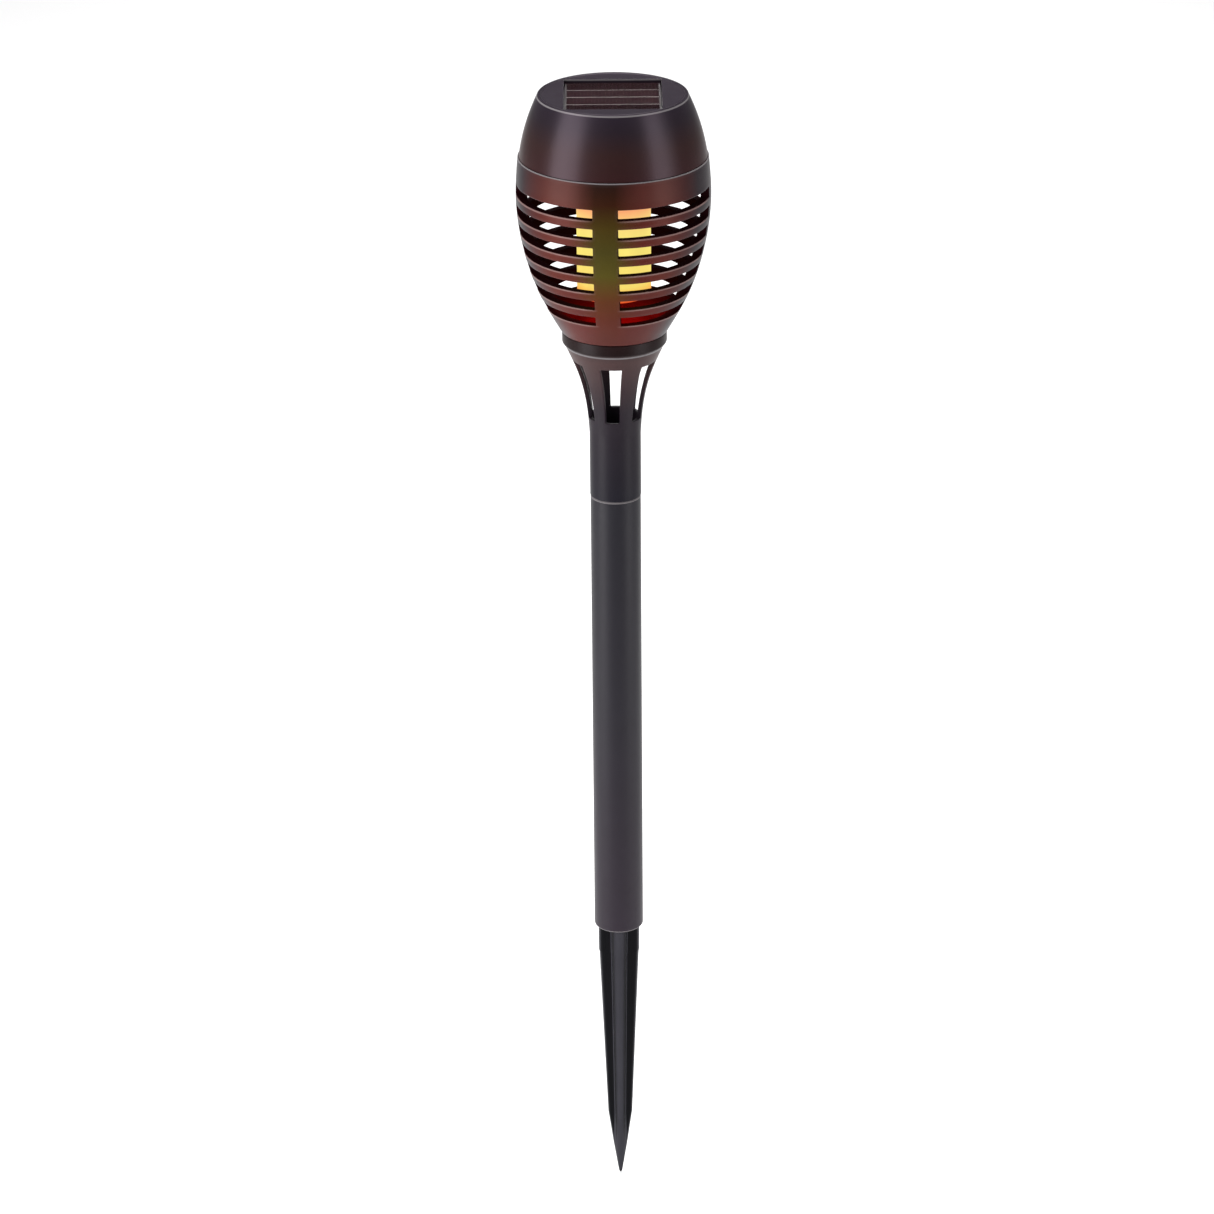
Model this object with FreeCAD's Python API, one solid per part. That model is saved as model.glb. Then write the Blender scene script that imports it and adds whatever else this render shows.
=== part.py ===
import FreeCAD, Part
import math
import os
from FreeCAD import Vector

# Solar garden torch: a ground spike, a pole, a slotted neck, a slatted cage and a
# solar lamp that lifts out of the cage. Millimetres, +Z up. The origin is on the
# axis at the soil line, where the pole's lower end meets the ground. -Y is the front.

# ---- heights along the axis
SPIKE_TIP = -129.5
FIN_END = -113.0
FIN_TAPER = -97.0
FIN_STEP = -13.5
POLE_TOP = 209.0
NECK_STRAIGHT_TOP = 238.0
COLLAR_LOW = 279.0
COLLAR_TOP = 284.8
CAGE_LOW = 285.0
CAGE_TOP = 362.6
CAP_LOW = 362.8
CAP_TOP = 389.5

# ---- main radii
SPIKE_TOP_R = 9.3
FIN_STEP_R = 8.95
FIN_TAPER_R = 5.55
FIN_END_R = 3.3
TIP_R = 0.7
POLE_R = 10.95
SOCKET_R = 9.5
POLE_BORE_R = 8.8
NECK_R = 11.1
COLLAR_R = 22.5
MOUTH_R = 38.2
SKIRT_R = 37.9
CAP_LOW_R = 39.9
CAP_TOP_R = 31.9

# ---- fits and walls
RUNNING_GAP = 0.08
SEAT_GAP = 0.1
PLUG_R = SOCKET_R - RUNNING_GAP
PLUG_DEPTH = 25.0
NECK_WALL = 1.8
CAGE_WALL = 3.8
CAP_ROOF = 2.2

# ---- ground spike
FIN_WIDTH_TOP = 6.6
FIN_WIDTH_LOW = 4.0

# ---- neck slots
NECK_SLOTS = 6
NECK_SLOT_ANGLE = 31.0
NECK_SLOT_LOW = 245.6
NECK_SLOT_TOP = 272.3
NECK_TURN = -5.3
NECK_FLARE = [(NECK_R, NECK_STRAIGHT_TOP), (11.7, 246.0), (13.0, 255.0), (15.6, 265.0), (21.5, COLLAR_LOW)]
WEB_LOW = 277.6
WEB_TOP = 279.6
WEB_HOLE_R = 2.5
BOSS_R = 3.2
BOSS_CIRCLE_R = 13.0
BOSS_ANGLES = [90.0, 210.0, 330.0]
NECK_PLUG_WALL = 1.7

# ---- cage
POST_WIDTH = 10.5
CAGE_TURN = -5.3
SLOT_ROWS = 7
SLOT_FIRST = 296.0
SLOT_PITCH = 8.42
SLOT_HEIGHT = 4.6
SPIGOT_R = 20.4
SPIGOT_LOW = 281.0
SPIGOT_WALL = 2.0
MOUTH_LOW = 352.6
MOUTH_LEDGE_R = 37.5
CAGE_OUTLINE = [(22.7, CAGE_LOW), (31.0, 300.0), (38.5, 322.0), (41.4, 346.0), (40.4, CAGE_TOP)]

# ---- bayonet between the lamp and the cage
LUG_ANGLES = [30.0, 150.0, 270.0]
LUG_HALF_ANGLE = 4.0
LUG_R = 39.0
LUG_LOW = 354.5
LUG_TOP = 357.0
TRACK_R = 39.35
TRACK_GAP = 0.4
TRACK_SIDE_ANGLE = 1.5
LOCK_ANGLE = 18.0

# ---- lamp base plate
PLATE_LOW = 362.9
PLATE_TOP = 364.9
SKIRT_INNER_R = 35.0
SKIRT_LOW = 353.5
SEAL_R = 37.3
SEAL_SECTION_R = 0.8
SEAL_Z = 360.3
GASKET_TOP = 365.7
GASKET_INNER_R = 36.1

# ---- cap
CAP_SIDE_MIDDLE = (37.35, 374.6)
CAP_RIM_DROP = 0.7
CAP_RIM_R = 31.1
TOP_FACE_R = 30.6
TOP_FACE_DROP = 0.4
CAP_INNER_FOOT = (36.8, 368.4)
CAP_INNER_MIDDLE = (35.0, 375.3)
CAP_BOSS_R = 2.8
POCKET_WALL = 1.2

# ---- pocket in the cap and the panel in it
POCKET_X = 41.4
POCKET_Y = 43.9
POCKET_FLOOR = 385.9
POCKET_FLOOR_LOW = 384.4
PANEL_GAP = 0.5
TAPE_TOP = 386.4
BOARD_TOP = 387.4
CELL_TOP = 387.7
RIBBON_TOP = 387.8
RESIN_TOP = 388.1
CELLS = 4
CELL_GAP = 0.6
WIRE_HOLE = (0.0, -14.0)

# ---- parts on the base plate
SCREW_CIRCLE_R = 27.5
CAP_SCREW_ANGLES = [90.0, 205.0, 335.0]
POST_SCREW_X = 9.5
BATTERY_R = 7.1
BATTERY_LENGTH = 48.6
BATTERY_Y = 14.0
BATTERY_Z = 373.6
CONTACT_X = 26.8
CONTACT_THICK = 0.5
CONTACT_LOW = 367.0
CONTACT_TOP = 376.5
CONTACT_HALF_Y = 4.0
SPRING_R = 3.4
SPRING_TURNS = 2
SPRING_WIRE_R = 0.3
PCB_LOW = 373.9
PCB_TOP = 375.1
PCB_X = 32.0
PCB_BACK_Y = -8.0
PCB_FRONT_Y = -29.0
PCB_POSTS = [(-13.0, -11.0), (13.0, -11.0)]
CHIP_PLACE = (6.0, -20.0)
CHIP_PINS_A_SIDE = 4
CHIP_PIN_PITCH = 1.27
INDUCTOR_PLACE = (-6.5, -21.0)
INDUCTOR_R = 3.0
INDUCTOR_WAIST_R = 2.3
SWITCH_Y = -24.0
SWITCH_SIZE = 8.4
SWITCH_LOW = 368.0
BUTTON_R = 3.9
BUTTON_HOLE_R = 4.2
BUTTON_FLANGE_R = 5.2
BUTTON_LOW = 359.6

# ---- light core
DIFFUSER_R = 15.8
DIFFUSER_WALL = 1.2
DIFFUSER_LOW = 301.0
RING_R = 14.5
RING_WALL = 1.6
RING_LOW = 357.0
POST_SIDE = 12.0
POST_LOW = 304.5
FLEX_THICK = 0.4
LED_ROWS = [314.0, 329.0, 344.0]
LED_SIZE = (3.5, 2.8, 1.9)


# ---------------------------------------------------------------- helpers
def point(r, z):
    return Vector(r, 0, z)


def line(a, b):
    return Part.LineSegment(point(*a), point(*b)).toShape()


def arc(a, b, c):
    return Part.Arc(point(*a), point(*b), point(*c)).toShape()


def spline(points):
    curve = Part.BSplineCurve()
    curve.interpolate([point(*p) for p in points])
    return curve.toShape()


def polyline(points):
    return [line(a, b) for a, b in zip(points, points[1:])]


def inset(points, wall):
    """Move each point of an outline inwards, square to the outline, by the wall."""
    moved = []
    for i, (r, z) in enumerate(points):
        before = points[max(i - 1, 0)]
        after = points[min(i + 1, len(points) - 1)]
        dr = after[0] - before[0]
        dz = after[1] - before[1]
        size = math.hypot(dr, dz)
        moved.append((r - wall * dz / size, z + wall * dr / size))
    return moved


def revolve(edges, angle=360.0):
    face = Part.Face(Part.Wire(Part.__sortEdges__(edges)))
    return face.revolve(Vector(0, 0, 0), Vector(0, 0, 1), angle)


def turned(points):
    return revolve(polyline(points + points[:1]))


def cylinder(r, z_low, z_top, x=0.0, y=0.0):
    return Part.makeCylinder(r, z_top - z_low, Vector(x, y, z_low))


def ring(r_out, r_in, z_low, z_top):
    return cylinder(r_out, z_low, z_top).cut(cylinder(r_in, z_low, z_top))


def block(x_low, x_top, y_low, y_top, z_low, z_top):
    return Part.makeBox(x_top - x_low, y_top - y_low, z_top - z_low, Vector(x_low, y_low, z_low))


def centred_block(x_size, y_size, z_low, z_top, x=0.0, y=0.0):
    return block(x - x_size / 2, x + x_size / 2, y - y_size / 2, y + y_size / 2, z_low, z_top)


def sector(r_in, r_out, z_low, z_top, angle_from, angle_to):
    """Part of a ring between two angles, in degrees from +X."""
    outline = polyline([(r_in, z_low), (r_out, z_low), (r_out, z_top), (r_in, z_top), (r_in, z_low)])
    solid = revolve(outline, angle_to - angle_from)
    solid.rotate(Vector(0, 0, 0), Vector(0, 0, 1), angle_from)
    return solid


def spun(shape, angle, x=0.0, y=0.0):
    copy = shape.copy()
    copy.rotate(Vector(x, y, 0), Vector(0, 0, 1), angle)
    return copy


def on_circle(radius, angle):
    return radius * math.cos(math.radians(angle)), radius * math.sin(math.radians(angle))


def screw(x, y, head_face, shaft_r, shaft_length, head_r, head_height, points_up):
    """Pan-head screw with a cross recess; head_face is where the head seats."""
    way = 1.0 if points_up else -1.0
    head = Part.makeCylinder(head_r, head_height, Vector(0, 0, -head_height))
    head = head.makeFillet(0.35 * head_height, [e for e in head.Edges if e.BoundBox.ZMax < 0])
    slot = Part.makeBox(head_r * 1.1, 0.5, 0.7, Vector(-head_r * 0.55, -0.25, -head_height))
    head = head.cut(slot).cut(spun(slot, 90))
    shaft = Part.makeCylinder(shaft_r, shaft_length - shaft_r)
    tip = Part.makeCone(shaft_r, 0.3, shaft_r, Vector(0, 0, shaft_length - shaft_r))
    whole = head.fuse([shaft, tip])
    if way < 0:
        whole.rotate(Vector(0, 0, 0), Vector(1, 0, 0), 180)
    whole.translate(Vector(x, y, head_face))
    return whole


def bent_wire(points, radius):
    """Round wire along straight runs joined by tangent arcs."""
    corners = [Vector(*p) for p in points]
    edges = []
    start = corners[0]
    for before, corner, after in zip(corners, corners[1:], corners[2:]):
        into = (corner - before) * (1.0 / (corner - before).Length)
        out = (after - corner) * (1.0 / (after - corner).Length)
        setback = 0.45 * min((corner - before).Length, (after - corner).Length)
        half_turn = into.getAngle(out) / 2
        bend_r = setback / math.tan(half_turn)
        inward = out - into
        middle = corner + inward * (bend_r * (1 / math.cos(half_turn) - 1) / inward.Length)
        edges.append(Part.LineSegment(start, corner - into * setback).toShape())
        edges.append(Part.Arc(corner - into * setback, middle, corner + out * setback).toShape())
        start = corner + out * setback
    edges.append(Part.LineSegment(start, corners[-1]).toShape())
    path = Part.Wire(edges)
    section = Part.Wire(Part.Circle(corners[0], corners[1] - corners[0], radius).toShape())
    return path.makePipeShell([section], True, True)


def mirrored_x(shape):
    return shape.mirror(Vector(0, 0, 0), Vector(1, 0, 0))


def save(node, shapes):
    solids = shapes if isinstance(shapes, list) else [shapes]
    clean = [s.removeSplitter() for s in solids]
    result = clean[0] if len(clean) == 1 else Part.makeCompound(clean)
    result.exportStep("parts/" + node + ".step")
    print(node, len(result.Solids), result.isValid(), round(result.Volume, 1))


# ---------------------------------------------------------------- ground spike
def fin_plate():
    """Tapered plate through the axis that makes two opposite fins."""
    sections = []
    levels = [
        (PLUG_DEPTH, FIN_WIDTH_TOP),
        (0.0, FIN_WIDTH_TOP),
        (FIN_TAPER, FIN_WIDTH_LOW),
        (FIN_END - 2.0, FIN_WIDTH_LOW),
    ]
    for z, width in levels:
        x = SPIKE_TOP_R + 2.0
        corners = [Vector(s * x, t * width / 2, z) for s, t in ((-1, -1), (1, -1), (1, 1), (-1, 1))]
        sections.append(Part.makePolygon(corners + corners[:1]))
    return Part.makeLoft(sections, True, True)


def ground_spike():
    outline = turned([
        (0, PLUG_DEPTH),
        (SPIKE_TOP_R, PLUG_DEPTH),
        (SPIKE_TOP_R, 0),
        (SPIKE_TOP_R - 0.1, FIN_STEP),
        (FIN_STEP_R, FIN_STEP),
        (FIN_TAPER_R, FIN_TAPER),
        (FIN_END_R, FIN_END),
        (0, FIN_END),
    ])
    fins = fin_plate().fuse(spun(fin_plate(), 90)).common(outline)
    tip = turned([(0, FIN_END), (FIN_END_R, FIN_END), (TIP_R, SPIKE_TIP), (0, SPIKE_TIP)])
    lower_disc = cylinder(PLUG_R, 1.0, 3.0)
    upper_disc = cylinder(PLUG_R, PLUG_DEPTH - 2.0, PLUG_DEPTH)
    return fins.fuse([tip, lower_disc, upper_disc])


# ---------------------------------------------------------------- pole
def pole_tube():
    socket_depth = PLUG_DEPTH + SEAT_GAP
    tube = cylinder(POLE_R, 0, POLE_TOP)
    bore = cylinder(POLE_BORE_R, 0, POLE_TOP)
    lower = cylinder(SOCKET_R, 0, socket_depth)
    upper = cylinder(SOCKET_R, POLE_TOP - socket_depth, POLE_TOP)
    tube = tube.cut(bore.fuse([lower, upper]))
    outer_r = POLE_R - 0.01
    bottom = [e for e in tube.Edges if e.BoundBox.ZMax < 0.01 and e.BoundBox.XMax > outer_r]
    tube = tube.makeFillet(1.2, bottom)
    top = [e for e in tube.Edges if e.BoundBox.ZMin > POLE_TOP - 0.01 and e.BoundBox.XMax > outer_r]
    return tube.makeChamfer(0.4, top)


# ---------------------------------------------------------------- neck
def neck_shell():
    inner = inset(NECK_FLARE, NECK_WALL)
    inner[0] = (NECK_R - NECK_WALL, NECK_STRAIGHT_TOP)
    foot = POLE_TOP + SEAT_GAP
    spigot_low = POLE_TOP - PLUG_DEPTH
    bore_r = PLUG_R - NECK_PLUG_WALL
    web_low = inner[-1]
    outside = polyline([
        (bore_r, spigot_low),
        (PLUG_R - 0.5, spigot_low),
        (PLUG_R, spigot_low + 1.5),
        (PLUG_R, foot),
        (NECK_R - 0.4, foot),
        (NECK_R, foot + 0.4),
        NECK_FLARE[0],
    ])
    collar = polyline([
        NECK_FLARE[-1],
        (COLLAR_R, COLLAR_LOW + 1.0),
        (COLLAR_R, COLLAR_TOP - 0.4),
        (COLLAR_R - 0.4, COLLAR_TOP),
        (SPIGOT_R + 0.2, COLLAR_TOP),
        (SPIGOT_R + 0.2, web_low[1]),
        web_low,
    ])
    inside = polyline([
        inner[0],
        (NECK_R - NECK_WALL, foot + 3.0),
        (bore_r, foot + 1.0),
        (bore_r, spigot_low),
    ])
    return revolve(outside + [spline(NECK_FLARE)] + collar + [spline(inner)] + inside)


def neck_funnel():
    shell = neck_shell()
    half = NECK_SLOT_ANGLE / 2
    centre = 270.0 + NECK_TURN
    for k in range(NECK_SLOTS):
        angle = centre + k * 360.0 / NECK_SLOTS
        shell = shell.cut(sector(5.0, 30.0, NECK_SLOT_LOW, NECK_SLOT_TOP, angle - half, angle + half))
    pieces = [ring(SPIGOT_R + 1.0, WEB_HOLE_R, WEB_LOW, WEB_TOP)]
    for x, y in cage_screw_places():
        pieces.append(cylinder(BOSS_R, WEB_TOP - 0.6, CAGE_LOW, x, y))
    shell = shell.fuse(pieces)
    for x, y in cage_screw_places():
        shell = shell.cut(cylinder(1.5, WEB_LOW - 1, CAGE_LOW + 1, x, y))
    return shell


def cage_screw_places():
    return [on_circle(BOSS_CIRCLE_R, angle) for angle in BOSS_ANGLES]


# ---------------------------------------------------------------- cage
def cage_shell():
    inner = [p for p in inset(CAGE_OUTLINE, CAGE_WALL) if p[1] < MOUTH_LOW]
    inner.append((MOUTH_LEDGE_R, MOUTH_LOW))
    rim = polyline([
        CAGE_OUTLINE[-1],
        (MOUTH_R + 0.3, CAGE_TOP),
        (MOUTH_R, CAGE_TOP - 0.3),
        (MOUTH_R, MOUTH_LOW),
        inner[-1],
    ])
    base = polyline([
        inner[0],
        (0, inner[0][1]),
        (0, CAGE_LOW),
        CAGE_OUTLINE[0],
    ])
    return revolve([spline(CAGE_OUTLINE)] + rim + [spline(inner)] + base)


def cage_slots():
    """All openings: full rings with the four posts left out."""
    posts = centred_block(100, POST_WIDTH, SLOT_FIRST - 1, CAGE_TOP)
    posts = posts.fuse(spun(posts, 90))
    rings = []
    for row in range(SLOT_ROWS):
        low = SLOT_FIRST + row * SLOT_PITCH
        rings.append(ring(48.0, 12.0, low, low + SLOT_HEIGHT))
    return [spun(r.cut(posts), CAGE_TURN) for r in rings]


def bayonet_tracks():
    tracks = []
    side = LUG_HALF_ANGLE + TRACK_SIDE_ANGLE
    for angle in LUG_ANGLES:
        low = LUG_LOW - TRACK_GAP
        roof = LUG_TOP + TRACK_GAP
        tracks.append(sector(MOUTH_R - 1, TRACK_R, low, CAGE_TOP + 1, angle - side, angle + side))
        tracks.append(sector(MOUTH_R - 1, TRACK_R, low, roof, angle - side - LOCK_ANGLE, angle + side))
    return tracks


def cage():
    body = cage_shell()
    spigot = ring(SPIGOT_R, SPIGOT_R - SPIGOT_WALL, SPIGOT_LOW, CAGE_LOW + 0.5)
    body = body.fuse(spigot)
    above_floor = cage_floor_face() + 1
    holes = [cylinder(WEB_HOLE_R, CAGE_LOW - 1, above_floor)]
    for x, y in cage_screw_places():
        holes.append(cylinder(1.7, CAGE_LOW - 1, above_floor, x, y))
    return body.cut(cage_slots() + bayonet_tracks() + holes)


def cage_floor_face():
    return inset(CAGE_OUTLINE, CAGE_WALL)[0][1]


def cage_screws():
    face = cage_floor_face()
    return [screw(x, y, face, 1.45, 8.0, 2.7, 1.8, False) for x, y in cage_screw_places()]


# ---------------------------------------------------------------- lamp housing
def cap_outline():
    return arc((CAP_LOW_R, CAP_LOW), CAP_SIDE_MIDDLE, (CAP_TOP_R, CAP_TOP - CAP_RIM_DROP))


def cap_shell():
    face_z = CAP_TOP - TOP_FACE_DROP
    roof_z = CAP_TOP - CAP_ROOF
    ledge_r = GASKET_INNER_R - SEAT_GAP
    rim_low = (CAP_TOP_R, CAP_TOP - CAP_RIM_DROP)
    rim_middle = (CAP_TOP_R - 0.25, CAP_TOP - 0.2)
    rim_top = (CAP_RIM_R, CAP_TOP)
    outside = [cap_outline(), arc(rim_low, rim_middle, rim_top)]
    outside += polyline([rim_top, (TOP_FACE_R, face_z), (0, face_z)])
    inside = polyline([
        (0, face_z),
        (0, roof_z),
        (TOP_FACE_R, roof_z),
    ])
    inner_side = arc((TOP_FACE_R, roof_z), CAP_INNER_MIDDLE, CAP_INNER_FOOT)
    foot = polyline([
        CAP_INNER_FOOT,
        (ledge_r, CAP_INNER_FOOT[1] - 0.8),
        (ledge_r, GASKET_TOP),
        (SKIRT_R + SEAT_GAP, GASKET_TOP),
        (SKIRT_R + SEAT_GAP, CAP_LOW),
        (CAP_LOW_R, CAP_LOW),
    ])
    shell = revolve(outside + inside + [inner_side] + foot)
    pocket_x = POCKET_X + 2 * POCKET_WALL
    pocket_y = POCKET_Y + 2 * POCKET_WALL
    pocket_box = centred_block(pocket_x, pocket_y, POCKET_FLOOR_LOW, CAP_TOP - 1.0)
    bosses = []
    for angle in CAP_SCREW_ANGLES:
        x, y = on_circle(SCREW_CIRCLE_R, angle)
        bosses.append(cylinder(CAP_BOSS_R, PLATE_TOP + SEAT_GAP, CAP_TOP - 1.5, x, y))
    shell = shell.fuse([pocket_box] + bosses)
    cuts = [
        centred_block(POCKET_X, POCKET_Y, POCKET_FLOOR, CAP_TOP + 1),
        cylinder(2.6, POCKET_FLOOR_LOW - 1, CAP_TOP, *WIRE_HOLE),
    ]
    for angle in CAP_SCREW_ANGLES:
        x, y = on_circle(SCREW_CIRCLE_R, angle)
        cuts.append(cylinder(1.3, PLATE_TOP, 378.0, x, y))
    return shell.cut(cuts)


def base_plate():
    plate = cylinder(SKIRT_R, PLATE_LOW, PLATE_TOP)
    skirt = ring(SKIRT_R, SKIRT_INNER_R, SKIRT_LOW, PLATE_LOW)
    groove_low = SEAL_Z - SEAL_SECTION_R - 0.2
    groove_top = SEAL_Z + SEAL_SECTION_R + 0.2
    groove = ring(SKIRT_R + 1, SEAL_R - SEAL_SECTION_R - SEAT_GAP, groove_low, groove_top)
    core_ring = ring(RING_R, RING_R - RING_WALL, RING_LOW, PLATE_LOW)
    parts = [skirt.cut(groove), core_ring]
    for angle in LUG_ANGLES:
        low_angle = angle - LUG_HALF_ANGLE
        high_angle = angle + LUG_HALF_ANGLE
        parts.append(sector(SKIRT_R - 1, LUG_R, LUG_LOW, LUG_TOP, low_angle, high_angle))
    parts += battery_cradle()
    for x, y in PCB_POSTS:
        parts.append(cylinder(2.4, PLATE_TOP, PCB_LOW, x, y))
    plate = plate.fuse(parts)
    holes = [
        cylinder(3.0, PLATE_LOW - 1, PLATE_TOP + 1),
        cylinder(BUTTON_HOLE_R, PLATE_LOW - 1, PLATE_TOP + 1, 0, SWITCH_Y),
    ]
    for angle in CAP_SCREW_ANGLES:
        x, y = on_circle(SCREW_CIRCLE_R, angle)
        holes.append(cylinder(1.6, PLATE_LOW - 1, PLATE_TOP + 1, x, y))
    for x in (-POST_SCREW_X, POST_SCREW_X):
        holes.append(cylinder(1.2, PLATE_LOW - 1, PLATE_TOP + 1, x, 0))
    for x, y in PCB_POSTS:
        holes.append(cylinder(0.95, PCB_LOW - 7.0, PCB_LOW + 1, x, y))
    return plate.cut(holes)


def battery_cradle():
    """Two saddles under the cell and an upright wall behind each contact."""
    cell = Part.makeCylinder(BATTERY_R + 0.1, 80, Vector(-40, BATTERY_Y, BATTERY_Z), Vector(1, 0, 0))
    pieces = []
    for x in (-15.0, 15.0):
        saddle = centred_block(3.0, 13.0, PLATE_TOP, BATTERY_Z - 2.5, x, BATTERY_Y)
        pieces.append(saddle.cut(cell))
    for x in (-CONTACT_X - 1.4, CONTACT_X):
        pieces.append(block(x, x + 1.4, BATTERY_Y - 4.5, BATTERY_Y + 4.5, PLATE_TOP, CONTACT_TOP + 0.5))
    return pieces


def cap_screws():
    screws = []
    for angle in CAP_SCREW_ANGLES:
        x, y = on_circle(SCREW_CIRCLE_R, angle)
        screws.append(screw(x, y, PLATE_LOW, 1.25, 11.0, 2.6, 1.5, True))
    return screws


def seal_ring():
    return Part.makeTorus(SEAL_R, SEAL_SECTION_R, Vector(0, 0, SEAL_Z))


def plate_gasket():
    return ring(SKIRT_R, GASKET_INNER_R, PLATE_TOP, GASKET_TOP)


# ---------------------------------------------------------------- solar panel
def panel_size():
    return POCKET_X - 2 * PANEL_GAP, POCKET_Y - 2 * PANEL_GAP


def panel_tape():
    x_size, y_size = panel_size()
    frame = centred_block(x_size - 2, y_size - 2, POCKET_FLOOR, TAPE_TOP)
    return frame.cut(centred_block(x_size - 12, y_size - 12, POCKET_FLOOR, TAPE_TOP))


def panel_board():
    return centred_block(*panel_size(), TAPE_TOP, BOARD_TOP)


def cell_strip_size():
    x_size, y_size = panel_size()
    return x_size - 1.6, (y_size - 1.6 - (CELLS - 1) * CELL_GAP) / CELLS


def solar_cells():
    strip_x, strip_y = cell_strip_size()
    first = -(CELLS - 1) / 2 * (strip_y + CELL_GAP)
    cells = []
    for k in range(CELLS):
        y = first + k * (strip_y + CELL_GAP)
        cells.append(centred_block(strip_x, strip_y, BOARD_TOP, CELL_TOP, 0, y))
    return cells


def cell_ribbons():
    strip_x, strip_y = cell_strip_size()
    ribbons = []
    for k in range(1, CELLS):
        y = (k - CELLS / 2) * (strip_y + CELL_GAP)
        ribbons.append(centred_block(strip_x, 0.7, CELL_TOP, RIBBON_TOP, 0, y))
    return ribbons


def panel_resin():
    resin = centred_block(*panel_size(), BOARD_TOP, RESIN_TOP)
    top = [e for e in resin.Edges if e.BoundBox.ZMin > RESIN_TOP - 0.01]
    resin = resin.makeChamfer(0.25, top)
    return resin.cut(solar_cells() + cell_ribbons())


# ---------------------------------------------------------------- electronics
def circuit_board():
    board = block(-PCB_X / 2, PCB_X / 2, PCB_FRONT_Y, PCB_BACK_Y, PCB_LOW, PCB_TOP)
    for x, y in PCB_POSTS:
        board = board.cut(cylinder(1.1, PCB_LOW - 1, PCB_TOP + 1, x, y))
    return board


def board_screws():
    return [screw(x, y, PCB_TOP, 0.9, 6.0, 1.9, 1.2, False) for x, y in PCB_POSTS]


def controller_chip():
    chip_x, chip_y = CHIP_PLACE
    body = centred_block(4.9, 3.9, PCB_TOP + 0.1, PCB_TOP + 1.6, chip_x, chip_y)
    legs = []
    for side in (-1, 1):
        for k in range(CHIP_PINS_A_SIDE):
            x = chip_x + (k - (CHIP_PINS_A_SIDE - 1) / 2) * CHIP_PIN_PITCH
            y = chip_y + side * 2.45
            legs.append(centred_block(0.4, 1.0, PCB_TOP, PCB_TOP + 0.5, x, y))
    return body.fuse(legs)


def board_inductor():
    core = cylinder(INDUCTOR_R, PCB_TOP, PCB_TOP + 5.0, *INDUCTOR_PLACE)
    waist = ring(INDUCTOR_R + 0.5, INDUCTOR_WAIST_R, PCB_TOP + 1.0, PCB_TOP + 4.0)
    waist.translate(Vector(*INDUCTOR_PLACE, 0))
    return core.cut(waist)


def inductor_winding():
    winding = ring(INDUCTOR_R - 0.2, INDUCTOR_WAIST_R, PCB_TOP + 1.0, PCB_TOP + 4.0)
    winding.translate(Vector(*INDUCTOR_PLACE, 0))
    return winding


def battery():
    x_low = -BATTERY_LENGTH / 2
    way = Vector(1, 0, 0)
    can = Part.makeCylinder(BATTERY_R, BATTERY_LENGTH, Vector(x_low, BATTERY_Y, BATTERY_Z), way)
    can = can.makeFillet(0.8, [e for e in can.Edges if e.BoundBox.XLength < 0.01])
    nub = Part.makeCylinder(2.6, 1.3, Vector(-x_low, BATTERY_Y, BATTERY_Z), way)
    return can.fuse(nub)


def contact_blade(x):
    """Upright plate across the end of the cell, with a soldering tab towards the board."""
    back = x + CONTACT_THICK
    plate = block(x, back, BATTERY_Y - CONTACT_HALF_Y, BATTERY_Y + CONTACT_HALF_Y, CONTACT_LOW, CONTACT_TOP)
    tab = block(x, back, BATTERY_Y - 7.5, BATTERY_Y - CONTACT_HALF_Y, CONTACT_TOP - 2.5, CONTACT_TOP)
    return plate.fuse(tab)


def battery_plate():
    x = BATTERY_LENGTH / 2 + 1.3
    back = x + CONTACT_THICK
    spacer = block(back, CONTACT_X, BATTERY_Y - 2.0, BATTERY_Y + 2.0, CONTACT_LOW + 2, CONTACT_TOP - 2.5)
    return contact_blade(x).fuse(spacer)


def battery_spring():
    """Coil that presses on the cell's flat end, standing on its own backing plate."""
    face_x = CONTACT_X - CONTACT_THICK
    length = face_x - BATTERY_LENGTH / 2 - SPRING_WIRE_R - 0.05
    helix = Part.makeHelix(length / SPRING_TURNS, length, SPRING_R)
    section = Part.Wire(Part.Circle(Vector(SPRING_R, 0, 0), Vector(0, 1, 0), SPRING_WIRE_R).toShape())
    coil = Part.Wire(helix).makePipeShell([section], True, True)
    coil.rotate(Vector(0, 0, 0), Vector(0, 1, 0), 90)
    coil.translate(Vector(-face_x, BATTERY_Y, BATTERY_Z))
    return contact_blade(-CONTACT_X).fuse(coil)


def switch_body():
    body = centred_block(SWITCH_SIZE, SWITCH_SIZE, SWITCH_LOW, PCB_LOW, 0, SWITCH_Y)
    upright = [e for e in body.Edges if e.BoundBox.ZLength > 1]
    body = body.makeFillet(0.6, upright)
    return body.cut(cylinder(1.7, SWITCH_LOW - 1, SWITCH_LOW + 3.5, 0, SWITCH_Y))


def power_button():
    cap = cylinder(BUTTON_R, BUTTON_LOW, PLATE_TOP + 0.2, 0, SWITCH_Y)
    low_edge = [e for e in cap.Edges if e.BoundBox.ZMax < BUTTON_LOW + 0.01]
    cap = cap.makeFillet(0.9, low_edge)
    flange = cylinder(BUTTON_FLANGE_R, PLATE_TOP + 0.2, PLATE_TOP + 1.0, 0, SWITCH_Y)
    stem = cylinder(1.5, PLATE_TOP + 1.0, SWITCH_LOW + 1.5, 0, SWITCH_Y)
    return cap.fuse([flange, stem])


def panel_wires():
    left = bent_wire([(-1.0, -14.0, TAPE_TOP), (-1.0, -14.0, 382.0), (-2.2, -16.0, 379.0),
                      (-2.2, -16.0, PCB_TOP)], 0.55)
    return [left, mirrored_x(left)]


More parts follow.
